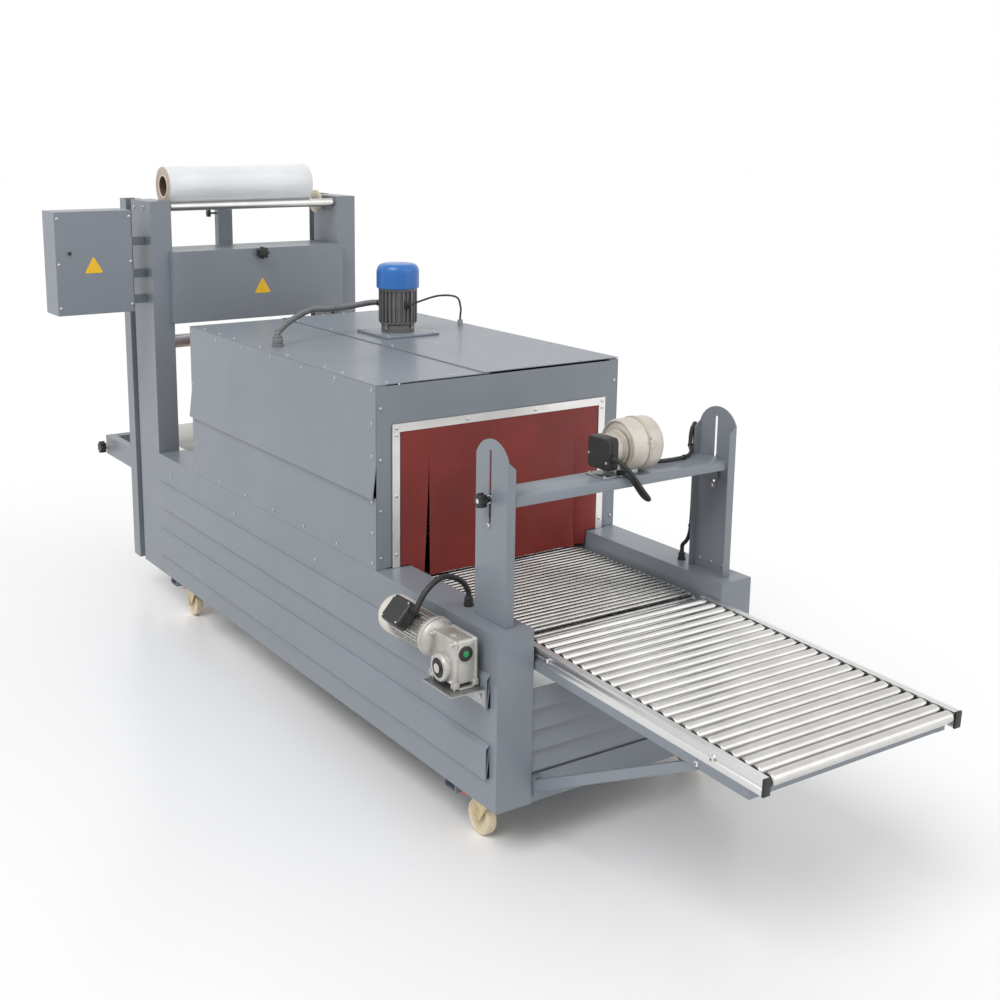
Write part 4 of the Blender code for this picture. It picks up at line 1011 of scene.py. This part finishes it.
rim = [(0.0712, 0.1604), (0.0738, 0.1612), (0.0738, 0.2130), (0.0728, 0.2220), (0.0700, 0.2300),
       (0.0650, 0.2370), (0.0580, 0.2415), (0.0480, 0.2435), (0.0, 0.2440)]
cap.turned("z", FAN_X, FAN_Y, [(r, FAN_Z + z) for r, z in [(0.0, 0.1604)] + rim], blue, 72)
cap.done("fan_cap")
print("fan with 26 fins")

# %% [markdown]
# ## Blower on the beam
# The blower is a low drum lying on its side. Its two halves meet in a raised seam with a clamp screw, a
# stepped ring and a smaller boss carry the terminal box, and a foot plate bolts it to the beam.


# %% Blower
blower = Piece("blower_housing", "blower_head", "cream_motor")
blower.turned("y", DRUM_X, DRUM_Z, [
    (0.0, 0.0150), (0.0560, 0.0150), (0.0605, 0.0165), (0.0635, 0.0130), (0.0660, 0.0106), (0.0690, 0.0118),
    (0.0715, 0.0165), (0.0715, 0.0600), (0.0700, 0.0612), (0.0700, 0.0625), (0.0742, 0.0630),
    (0.0742, 0.0666), (0.0722, 0.0672), (0.0722, 0.0682), (0.0742, 0.0688), (0.0742, 0.0728),
    (0.0700, 0.0735), (0.0700, 0.0745), (0.0715, 0.0755), (0.0715, 0.1060), (0.0700, 0.1120),
    (0.0660, 0.1160), (0.0590, 0.1180), (0.0, 0.1180)], drum_paint, 72)
for half, y0, y1, z0, z1, rounding in (
        (0.036, 0.020, 0.056, BEAM_TOP + GAP, BEAM_TOP + 0.024, 0.002),
        (0.038, -0.066, 0.004, BEAM_TOP + GAP, BEAM_TOP + 0.005, 0.001),
        (0.026, -0.016, 0.004, BEAM_TOP + 0.004, DRUM_Z - 0.036, 0.002)):
    blower.block(DRUM_X - half, DRUM_X + half, y0, y1, z0, z1, plate_steel, rounding)
blower.block(DRUM_X + 0.066, DRUM_X + 0.078, 0.0600, 0.0760, DRUM_Z + 0.012, DRUM_Z + 0.022,
             drum_paint, 0.002)
blower.pin("z", DRUM_X + 0.0735, 0.068, 0.0028, DRUM_Z + 0.004, DRUM_Z + 0.030, screw_metal)
blower.turned("y", DRUM_X, DRUM_Z - 0.004, [
    (0.0, -0.0218), (0.0400, -0.0218), (0.0420, -0.0205), (0.0425, -0.0040), (0.0405, -0.0030),
    (0.0405, 0.0040), (0.0460, 0.0048), (0.0480, 0.0060), (0.0480, 0.0101), (0.0, 0.0101)], drum_paint, 56)
blower.done("blower_drum", "blower_motor")


# %% Terminal boxes
def terminal_box(piece, centre, out, across, up, size, depth):
    """Box with a lid, given by its own three directions; centre is the middle of the face it sits on."""
    def corner_ring(grow_by, distance):
        points = []
        r = 0.013
        for sa, sb, start in ((1, 1, 0), (-1, 1, 90), (-1, -1, 180), (1, -1, 270)):
            for k in range(4):
                a = math.radians(start + k * 30)
                u = sa * (size[0] / 2 - r) + (r + grow_by) * math.cos(a)
                v = sb * (size[1] / 2 - r) + (r + grow_by) * math.sin(a)
                points.append(centre + across * u + up * v + out * distance)
        return points
    rings = [(-0.002, 0.0), (0.0, 0.0), (0.0, depth * 0.60), (-0.0014, depth * 0.61),
             (-0.0014, depth * 0.66), (0.0, depth * 0.67), (0.0, depth - 0.006),
             (-0.0012, depth - 0.002), (-0.004, depth)]
    verts = []
    for grow_by, distance in rings:
        verts += corner_ring(grow_by, distance)
    faces = [tuple(range(16)), tuple(range(len(verts) - 16, len(verts)))]
    piece.solid(verts, faces + quads(len(rings), 16), black_plastic)


X_AXIS = Vector((1, 0, 0))
Z_AXIS = Vector((0, 0, 1))
box = Piece("blower_terminal_housing", "blower_head", "black_box")
terminal_box(box, Vector((DRUM_X, BOX_Y, BOX_Z)), Vector((0, -1, 0)), X_AXIS, Z_AXIS,
             (0.088, 0.088), 0.0335)
box.turned("x", BOX_Y - 0.017, BOX_Z - 0.010, slid([
    (0.0, 0.0), (0.0110, 0.0), (0.0110, 0.008), (0.0090, 0.009), (0.0090, 0.013), (0.0072, 0.016),
    (0.0, 0.016)], DRUM_X + 0.0435), black_plastic, 12)
box.done("blower_terminal_box", angle=30)

# %% [markdown]
# ## Gearmotor
# A worm gearbox drives the conveyor's head shaft. It is a square aluminium casting with a round hub for
# the shaft, bolt bosses at its corners, and open feet on the bracket. The worm's end is closed by a black
# cap with a green plug. The motor behind it is ribbed and ends in a pale cowl; its fan grille is painted
# as dark rings of shade on the cowl's face.

# %% Gearbox
GEAR_X0 = 1.106
GEAR_X1 = 1.226
GEAR_Y0 = -0.546
GEAR_Y1 = -0.456
FACE = GEAR_Y0 + 0.014
gear = Piece("gearbox_casting", "machine", "cast_alloy")
outline = [(GEAR_X0 + 0.006, LOOP_Z - 0.034), (GEAR_X1 - 0.006, LOOP_Z - 0.034),
           (GEAR_X1 - 0.004, WORM_Z + 0.024), (GEAR_X1 - 0.010, WORM_Z + 0.033),
           (GEAR_X0 + 0.012, WORM_Z + 0.033), (GEAR_X0 + 0.006, WORM_Z + 0.026)]
gear.prism(outline, "y", FACE + 0.008, GEAR_Y1 - 0.010, cast, 0.005, 3)
for y0, y1 in ((FACE + 0.002, FACE + 0.011), (GEAR_Y1 - 0.015, GEAR_Y1 - 0.006)):
    frame_outline = [(GEAR_X0 + 0.002, LOOP_Z - 0.036), (GEAR_X1 - 0.002, LOOP_Z - 0.036),
                     (GEAR_X1 - 0.002, WORM_Z + 0.030), (GEAR_X1 - 0.008, WORM_Z + 0.036),
                     (GEAR_X0 + 0.008, WORM_Z + 0.036), (GEAR_X0 + 0.002, WORM_Z + 0.030)]
    gear.prism(frame_outline, "y", y0, y1, cast, 0.0025)
for x in (GEAR_X0 + 0.001, GEAR_X1 - 0.019):
    for y in (FACE - 0.003, GEAR_Y1 - 0.021):
        gear.block(x, x + 0.018, y, y + 0.018, LOOP_Z - 0.048, LOOP_Z - 0.026, cast, 0.002)
    gear.block(x, x + 0.018, FACE - 0.003, GEAR_Y1 - 0.003, LOOP_Z - 0.048, LOOP_Z - 0.041, cast, 0.0015)
for x in (GEAR_X0 + 0.012, GEAR_X1 - 0.014):
    for z in (LOOP_Z - 0.024, WORM_Z + 0.026):
        gear.turned("y", x, z, [(0.0, FACE - 0.002), (0.0075, FACE - 0.002), (0.0082, FACE + 0.004),
                                (0.0082, GEAR_Y1 - 0.004), (0.0, GEAR_Y1 - 0.004)], cast, 16)
        gear.pin("y", x, z, 0.0042, FACE - 0.0070, FACE - 0.0018, screw_metal, 6)
hub = [(0.0265, GEAR_Y0), (0.0345, GEAR_Y0 + 0.001), (0.0370, GEAR_Y0 + 0.004), (0.0385, FACE + 0.002),
       (0.0385, GEAR_Y1 - 0.008), (0.0340, GEAR_Y1), (0.0132, GEAR_Y1), (0.0132, GEAR_Y0 + 0.003),
       (0.0265, GEAR_Y0 + 0.003)]
gear.hollow("y", HEAD_X, LOOP_Z, hub, cast, 48)
gear.ring("y", HEAD_X, LOOP_Z, 0.0145, 0.0262, GEAR_Y0 + 0.0008, GEAR_Y0 + 0.0032, black_parts_and_painted_shade)
for k in range(4):
    a = math.radians(45 + 90 * k)
    gear.pin("y", HEAD_X + 0.0315 * math.cos(a), LOOP_Z + 0.0315 * math.sin(a), 0.0030,
             GEAR_Y0 - 0.0012, GEAR_Y0 + 0.0010, screw_metal, 6)
for profile, start, material, sides in (
        ([(0.0, -0.006), (0.0250, -0.006), (0.0250, -0.001), (0.0235, 0.0005), (0.0, 0.0005)],
         GEAR_X1, cast, 40),
        ([(0.0, 0.0), (0.0205, 0.0), (0.0205, 0.0028), (0.0185, 0.0040), (0.0, 0.0036)],
         GEAR_X1, black_plastic, 40),
        ([(0.0, 0.0034), (0.0088, 0.0034), (0.0080, 0.0046), (0.0, 0.0048)], GEAR_X1, green, 28)):
    gear.turned("x", GEAR_Y, WORM_Z, slid(profile, start), material, sides)
gear.turned("z", HEAD_X + 0.006, GEAR_Y, slid([
    (0.0, 0.0), (0.0110, 0.0), (0.0110, 0.0036), (0.0070, 0.0046), (0.0, 0.0046)],
    WORM_Z + 0.0325), cast, 24)
gear.turned("x", GEAR_Y, WORM_Z, slid([
    (0.0, -0.011), (0.0530, -0.011), (0.0530, -0.003), (0.0500, 0.001), (0.0360, 0.010), (0.0, 0.010)],
    GEAR_X0), cast, 48)
gear.done("drive_gearbox")

# %% Drive motor
MOTOR_X0 = 0.872
MOTOR_X1 = GEAR_X0 - 0.0114
motor = Piece("drive_motor_body", "machine", "cast_alloy")
motor.turned("x", GEAR_Y, WORM_Z, [
    (0.0, MOTOR_X1), (0.0530, MOTOR_X1), (0.0555, MOTOR_X1 - 0.002), (0.0555, MOTOR_X1 - 0.010),
    (0.0525, MOTOR_X1 - 0.013), (0.0470, MOTOR_X1 - 0.020), (0.0450, MOTOR_X1 - 0.024),
    (0.0450, MOTOR_X0 + 0.060), (0.0, MOTOR_X0 + 0.060)], cast, 56)
fins = fin_ring(32, 0.0440, 0.0490, MOTOR_X1 - MOTOR_X0 - 0.088, 0.0022, cast)
fins.transform(Matrix.Translation(((MOTOR_X1 - 0.026 + MOTOR_X0 + 0.062) / 2, GEAR_Y, WORM_Z))
               @ Matrix.Rotation(math.pi / 2, 4, "Y"))
motor.bm.from_mesh(fins)
for k in range(4):
    a = math.radians(45 + 90 * k)
    motor.pin("x", GEAR_Y + 0.0485 * math.cos(a), WORM_Z + 0.0485 * math.sin(a), 0.0045,
              MOTOR_X1 - 0.0180, MOTOR_X1 - 0.0115, screw_metal, 6)
cowl = [(0.0, 0.062), (0.0500, 0.062), (0.0545, 0.059), (0.0548, 0.020), (0.0535, 0.011), (0.0495, 0.004),
        (0.0440, 0.0006), (0.0, 0.0)]
motor.turned("x", GEAR_Y, WORM_Z, slid(cowl, MOTOR_X0), off_white, 56)
# The grille's slots are not cut: dark rings on the cowl's end face are painted shade.
for r in (0.012, 0.022, 0.032, 0.040):
    motor.ring("x", GEAR_Y, WORM_Z, r, r + 0.004, MOTOR_X0 - 0.0006, MOTOR_X0 + 0.0012, black_parts_and_painted_shade)
motor.done("drive_motor")

# %% Drive terminal box
TILT = math.radians(48)
box_out = Vector((0, -math.sin(TILT), math.cos(TILT)))
box_up = Vector((0, math.cos(TILT), math.sin(TILT)))
axis_point = Vector((0.990, GEAR_Y, WORM_Z))
box = Piece("drive_terminal_housing", "machine", "black_box")
terminal_box(box, axis_point + box_out * 0.0498, box_out, X_AXIS, box_up, (0.084, 0.076), 0.036)
gland_at = axis_point + box_out * 0.0678 + box_up * 0.024
box.turned("x", gland_at.y, gland_at.z, [
    (0.0, 1.0315), (0.0120, 1.0315), (0.0120, 1.0385), (0.0100, 1.0395), (0.0100, 1.0445),
    (0.0, 1.0460)], black_plastic, 14)
for sx in (-1, 1):
    for su in (-1, 1):
        base = axis_point + box_out * 0.0855 + X_AXIS * (sx * 0.034) + box_up * (su * 0.030)
        verts = hoop(base, X_AXIS, box_up, 0.003, 8)
        verts += hoop(base + box_out * 0.0012, X_AXIS, box_up, 0.003, 8)
        box.solid(verts, [tuple(range(8)), tuple(range(8, 16))] + quads(2, 8), screw_metal)
box.done("drive_terminal_box", angle=30)

# %% [markdown]
# ## Cables and conduit
# The cables are fixed lengths between a gland on the machine and the motor that they feed. Each follows
# the route of its CAD tube, drawn again as a finer curve. The blower's cable crosses the height joint of
# the beam, so it is left on neither body. The fan's conduit is ribbed: thin rings are set along the
# same curve.


# %% Routes
def route(points, per=12):
    points = [Vector(p) for p in points]
    out = []
    last = len(points) - 1
    for i in range(last):
        p0, p1, p2, p3 = (points[max(i - 1, 0)], points[i], points[i + 1], points[min(i + 2, last)])
        for k in range(per):
            t = k / per
            if i in (0, last - 1):
                out.append(p1.lerp(p2, t))
            else:
                out.append((2 * p1 + (p2 - p0) * t + (2 * p0 - 5 * p1 + 4 * p2 - p3) * t ** 2
                            + (3 * p1 - p0 - 3 * p2 + p3) * t ** 3) * 0.5)
    out.append(points[-1])
    return out


def length_of(points):
    return sum((b - a).length for a, b in zip(points, points[1:]))


def gland(piece, x, y, z, r, height):
    profile = [(0.0, 0.0), (1.16, 0.0), (1.16, 0.30), (1.0, 0.32), (1.0, 0.72), (0.86, 0.94)]
    points = [(r * wide, z + height * high) for wide, high in profile]
    points += [(r * 0.70, z + height + 0.001), (0.0, z + height + 0.001)]
    piece.turned("z", x, y, points, black_plastic, 14)


def tie(piece, point, along, r):
    ahead = along.normalized()
    side = ahead.orthogonal().normalized()
    other = ahead.cross(side)
    verts = []
    for distance, extra in ((-0.0025, 0.0002), (-0.0025, 0.0016), (0.0025, 0.0016), (0.0025, 0.0002)):
        verts += hoop(point + ahead * distance, side, other, r + extra, 16)
    piece.solid(verts, quads(4, 16, True), black_parts_and_painted_shade)


# %% Cables
RUN_Z = BEAM_TOP + 0.0065
LEG_X = 1.0935
LEAD_R = 0.0060
BOX_X = DRUM_X + 0.0464
blower_route = route([
    (BOX_X, BOX_Y - 0.017, BOX_Z - 0.010), (BOX_X + 0.012, BOX_Y - 0.016, BOX_Z - 0.011),
    (1.266, -0.014, 0.992), (1.268, 0.028, 0.940), (1.266, 0.056, 0.908), (1.258, 0.040, 0.918),
    (1.240, 0.000, RUN_Z + 0.001), (1.160, -0.001, RUN_Z), (1.139, 0.030, RUN_Z),
    (1.139, 0.110, RUN_Z), (1.164, 0.190, RUN_Z), (1.164, 0.272, RUN_Z),
    (1.135, 0.325, RUN_Z + 0.001), (1.099, 0.356, 0.985), (LEG_X, 0.363, 1.020),
    (LEG_X, 0.3705, 1.038), (LEG_X, 0.3785, 1.018), (LEG_X, 0.3775, 0.740), (1.056, 0.383, 0.668),
    (1.056, 0.383, 0.6474)])
cable = Piece("blower_lead", None, "black_cable")
cable.tube(blower_route, LEAD_R, rubber)
low_tie = min(range(len(blower_route) - 24), key=lambda i: abs(blower_route[i].z - 0.7475)
              + (1 if blower_route[i].y < 0.37 else 0))
for index in (132, 156, low_tie):
    tie(cable, blower_route[index], blower_route[index + 1] - blower_route[index - 1], LEAD_R)
lead = cable.done("blower_cable")
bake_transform(lead)

drive_route = route([
    (1.0324, gland_at.y, gland_at.z), (1.042, gland_at.y, gland_at.z), (1.045, -0.510, 0.684),
    (1.043, -0.472, 0.711), (1.043, -0.434, 0.716), (1.047, -0.392, 0.694), (1.050, -0.374, 0.662),
    (1.050, -0.374, 0.6494)])
cable = Piece("drive_lead", "machine", "black_cable")
cable.tube(drive_route, 0.0078, rubber, 16)
cable.done("drive_cable")

fan_route = route([
    (FAN_X + 0.0686, FAN_Y, FAN_Z + 0.105), (FAN_X + 0.077, FAN_Y, FAN_Z + 0.105),
    (FAN_X + 0.088, FAN_Y + 0.030, FAN_Z + 0.118), (FAN_X + 0.092, FAN_Y + 0.110, FAN_Z + 0.134),
    (FAN_X + 0.050, FAN_Y + 0.210, FAN_Z + 0.118), (-0.110, 0.370, FAN_Z + 0.072),
    (-0.153, 0.399, FAN_Z + 0.046), (-0.157, 0.400, 1.2029), (-0.157, 0.400, 1.1913)])
cable = Piece("fan_lead", "machine", "black_cable")
cable.tube(fan_route, 0.0035, rubber)
cable.done("fan_cable")

glands = Piece("cabinet_glands", "machine", "black_cable")
gland(glands, 1.050, -0.374, Z_TOP + 0.0003, 0.0117, 0.0245)
gland(glands, 1.056, 0.383, Z_TOP + 0.0003, 0.0102, 0.0225)
glands.done(angle=25)
for label, points in (("blower", blower_route), ("drive", drive_route), ("fan", fan_route)):
    print(label, "cable", round(length_of(points), 3), "m")

# %% Conduit
TOP_FIT = 1.196
conduit_route = route([
    (FAN_X - 0.0804, FAN_Y - 0.030, FAN_Z + 0.100), (FAN_X - 0.092, FAN_Y - 0.030, FAN_Z + 0.100),
    (-0.200, 0.046, FAN_Z + 0.099), (-0.195, -0.047, FAN_Z + 0.092), (-0.185, -0.121, FAN_Z + 0.091),
    (-0.170, -0.200, FAN_Z + 0.094), (-0.140, -0.286, FAN_Z + 0.071), (-0.096, -0.352, FAN_Z + 0.048),
    (-0.080, -0.370, TOP_FIT + 0.014), (-0.080, -0.370, TOP_FIT + GAP)], 8)
conduit = Piece("conduit_core", "machine", "grey_conduit")
conduit.tube(conduit_route, 0.0086, conduit_grey, 16)
for z0, z1, r, sides in ((1.1690, 1.1765, 0.0200, 6), (1.1765, 1.1975, 0.0178, 20),
                         (1.1975, 1.2040, 0.0150, 20)):
    conduit.turned("z", -0.080, -0.370, [
        (0.0, z0), (r - 0.0006, z0), (r, z0 + 0.001), (r, z1 - 0.001), (r - 0.0006, z1),
        (0.0, z1)], conduit_grey, sides)
conduit.done("fan_conduit")
rib_tree, g = new_tree("conduit ribs", [("Spacing", "NodeSocketFloat", 0.004)])
line = g.out(g.add("GeometryNodeMeshToCurve", None, {0: g.out(g.start)}))
even = g.out(g.add("GeometryNodeResampleCurve", {"mode": "LENGTH"},
                   {"Curve": line, "Length": g.out(g.start, "Spacing")}))
rib_path = g.out(g.add("GeometryNodeCurvePrimitiveCircle", None, {"Resolution": 20, "Radius": 0.0090}))
rib_section = g.out(g.add("GeometryNodeCurvePrimitiveCircle", None, {"Resolution": 6, "Radius": 0.0014}))
rib = g.out(g.add("GeometryNodeCurveToMesh", None, {"Curve": rib_path, "Profile Curve": rib_section}))
tangent = g.out(g.add("GeometryNodeInputTangent"))
turn = g.out(g.add("FunctionNodeAlignRotationToVector", {"axis": "Z"}, {"Vector": tangent}))
ribs = g.out(g.add("GeometryNodeInstanceOnPoints", None,
                   {"Points": even, "Instance": rib, "Rotation": turn}))
close_tree(g, painted_with(g, ribs, conduit_grey))
edges = [(i, i + 1) for i in range(len(conduit_route) - 1)]
rib_mesh = grow(rib_tree, points_mesh([tuple(p) for p in conduit_route], edges=edges), Spacing=0.004)
settle(rib_mesh, "conduit_ribs", "machine")
print("conduit", round(length_of(conduit_route), 3), "m")

# %% [markdown]
# ## Casters
# The wheels are cream plastic with a steel hub, in forks with a yellow zinc coat. Each has an orange
# pedal for its brake. The wheel is a turned piece with a tread, a dished side and a hub.

# %% Wheels and pedals
WHEEL_R = 0.050
TRAIL = 0.032
wheel_side = [(0.0062, 0.0150), (0.0130, 0.0150), (0.0140, 0.0138), (0.0150, 0.0110), (0.0380, 0.0110),
              (0.0400, 0.0125), (0.0425, 0.0148), (0.0450, 0.0150), (0.0480, 0.0135), (0.0497, 0.0100),
              (WHEEL_R, 0.0060)]
swivel = [(0.0, 0.1090), (0.0255, 0.1090), (0.0318, 0.1130), (0.0318, 0.1175), (0.0300, 0.1215),
          (0.0318, 0.1225), (0.0318, 0.1265), (0.0270, 0.1295), (0.0, 0.1295)]
pedal = [(-0.0765, 0.0835), (-0.0400, 0.0955), (-0.0080, 0.1085), (-0.0100, 0.1115), (-0.0420, 0.1042),
         (-0.0785, 0.0925)]
for x, y, tag in CASTERS:
    wheel_x = x - TRAIL
    wheel = Piece("wheel_tread_" + tag, "wheel_" + tag, "wheel_cream")
    section = [(r, y - w) for r, w in wheel_side] + [(r, y + w) for r, w in reversed(wheel_side)]
    wheel.hollow("y", wheel_x, WHEEL_R, section, wheel_plastic, 56)
    for s in (-1, 1):
        wheel.ring("y", wheel_x, WHEEL_R, 0.0062, 0.0115, y + s * 0.0152, y + s * 0.0165, screw_metal, 28)
    wheel.done("caster_wheel_" + tag)
    trim = Piece("caster_trim_" + tag, "caster_" + tag, "plated_fork")
    for s in (-1, 1):
        trim.pin("y", wheel_x, WHEEL_R, 0.0100, y + s * 0.0236, y + s * 0.0262, screw_metal, 6)
    trim.turned("z", x, y, swivel, zinc, 40)
    trim.prism([(wheel_x + w, z) for w, z in pedal], "y", y - 0.0165, y + 0.0165, orange, 0.0018)
    trim.done()

# %% [markdown]
# ## Small things
# Two yellow plates mark the control box and the gantry cover: they are blank here. Under the cover hangs
# the sealing bar, held by a plate at each end.


# %% Plates and sealing bar
def plate_outline(y, z, half):
    points = []
    for k in range(3):
        a = math.radians(90 + 120 * k)
        corner_y = y + half * 1.02 * math.cos(a)
        corner_z = z + half * 1.02 * math.sin(a)
        for b in (-45, -15, 15, 45):
            c = a + math.radians(b)
            points.append((corner_y + half * 0.14 * math.cos(c), corner_z + half * 0.14 * math.sin(c)))
    return points


plates = Piece("yellow_plates", "machine", "painted_steel")
plates.prism(plate_outline(-0.666, 1.360, 0.032), "x", -0.9999, -0.9991, yellow, 0.0003, 1)
plates.prism(plate_outline(0.004, 1.249, 0.032), "x", -0.9699, -0.9691, yellow, 0.0003, 1)
plates.done()
seal = Piece("sealing_bar", "machine", "bright_steel")
seal.block(-1.084, -1.036, -0.350, 0.350, 1.038, 1.074, aluminium, 0.003)
seal.block(-1.074, -1.046, -0.346, 0.346, 1.026, 1.0376, cream_disc, 0.002)
for s in (-1, 1):
    y0, y1 = sorted((s * 0.351, s * 0.356))
    seal.block(-1.080, -1.040, y0, y1, 1.040, 1.155, paint, 0.0015)
    seal.pin("y", -1.060, 1.100, 0.005, y0 - 0.004, y1 - 0.001, screw_metal)
seal.done()

# %% [markdown]
# The knobs are lobed black ones, so that a hand can tighten them. Each sits on a plated collar. The beam
# is a folded channel with a tab at each end, through which its knob clamps it to the arm.


# %% Star knobs and the beam
def star_knob(piece, axis, u, v, low, high, r, lobes=7):
    wave = 0.0032
    outline = []
    for k in range(lobes * 8):
        a = 2 * math.pi * k / (lobes * 8)
        reach = r - wave + wave * math.cos(lobes * a)
        outline.append((u + reach * math.cos(a), v + reach * math.sin(a)))
    piece.prism(outline, axis, low, high, black_plastic, 0.0022, 2)


TAB_Y = 0.3805
CLAMP_X = 1.166
CLAMP_Z = 0.950
beam = Piece("height_beam", "blower_head", "painted_steel")
channel = [(1.130, 0.940), (1.130, 0.9645), (1.1325, BEAM_TOP), (1.2335, BEAM_TOP), (1.236, 0.9645),
           (1.236, 0.940), (1.2335, 0.940), (1.2335, 0.9635), (1.1325, 0.9635), (1.1325, 0.940)]
beam.prism(channel, "y", -0.3605, 0.3605, paint, 0.0003, 1)
for s in (-1, 1):
    y0, y1 = sorted((s * 0.3600, s * TAB_Y))
    beam.block(1.142, 1.190, y0, y1, 0.9600, 0.9632, paint, 0.0004, 1)
    y0, y1 = sorted((s * 0.3780, s * TAB_Y))
    beam.block(1.142, 1.190, y0, y1, 0.8965, 0.9625, paint, 0.0006, 1)
    for start, end, r, metal, sides in ((0.3760, 0.4120, 0.0045, screw_metal, 16),
                                        (0.3915, 0.3935, 0.0110, screw_metal, 28),
                                        (0.3935, 0.4085, 0.0085, black_plastic, 24),
                                        (0.4285, 0.4300, 0.0065, screw_metal, 20)):
        y0, y1 = sorted((s * start, s * end))
        beam.pin("y", CLAMP_X, CLAMP_Z, r, y0, y1, metal, sides)
    y0, y1 = sorted((s * 0.4080, s * 0.4290))
    star_knob(beam, "y", CLAMP_X, CLAMP_Z, y0, y1, 0.0205)
beam.done("blower_beam", angle=40)
knobs = Piece("star_knobs", "machine", "black_box")
star_knob(knobs, "x", 0.0, 1.388, -0.9635, -0.9392, 0.0245)
star_knob(knobs, "y", -1.572, 0.537, -0.4868, -0.4622, 0.0260)
star_knob(knobs, "y", -1.214, 1.530, -0.1188, -0.1052, 0.0165, 6)
knobs.done(angle=40)
tabs = Piece("arm_plates", "machine", "painted_steel")
for s in (-1, 1):
    y0, y1 = sorted((s * 0.3860, s * 0.3878))
    tabs.block(1.150, 1.180, y0, y1, 0.8660, 0.8880, paint, 0.0005, 1)
tabs.done()

# %% [markdown]
# Between the upper and the lower run of rods lies a near-black sheet of painted shade, so the gaps
# between the rods look black from above. The long sides carry two folded bands each.

# %% Painted shade sheet under the rods, and side bands
BAND_X0 = -0.9990
BAND_X1 = 1.2495
# Painted shade: a near-black sheet under the upper run of rods.
gap_shade = Piece("rod_gap_shade_sheet", "machine", "painted_steel")
gap_shade.block(TAIL_X + 0.055, HEAD_X - 0.055, -0.299, 0.299, 0.5380, 0.5395, rod_gap_shade, 0.0004, 1)
gap_shade.done()
bands = Piece("side_bands", "machine", "painted_steel")
for s in (-1, 1):
    face = s * (HALF_W + 0.0008)
    outer = s * (HALF_W + 0.0124)
    inner = s * (HALF_W + 0.0104)
    for high, low in ((0.514, 0.4195), (0.323, 0.2255)):
        section = [(face, high + 0.001), (outer, high - 0.011), (outer, low), (inner, low),
                   (inner, high - 0.0125), (s * (HALF_W - 0.001), high - 0.001)]
        bands.prism(section, "x", BAND_X0, BAND_X1, paint)
bands.done(angle=20)
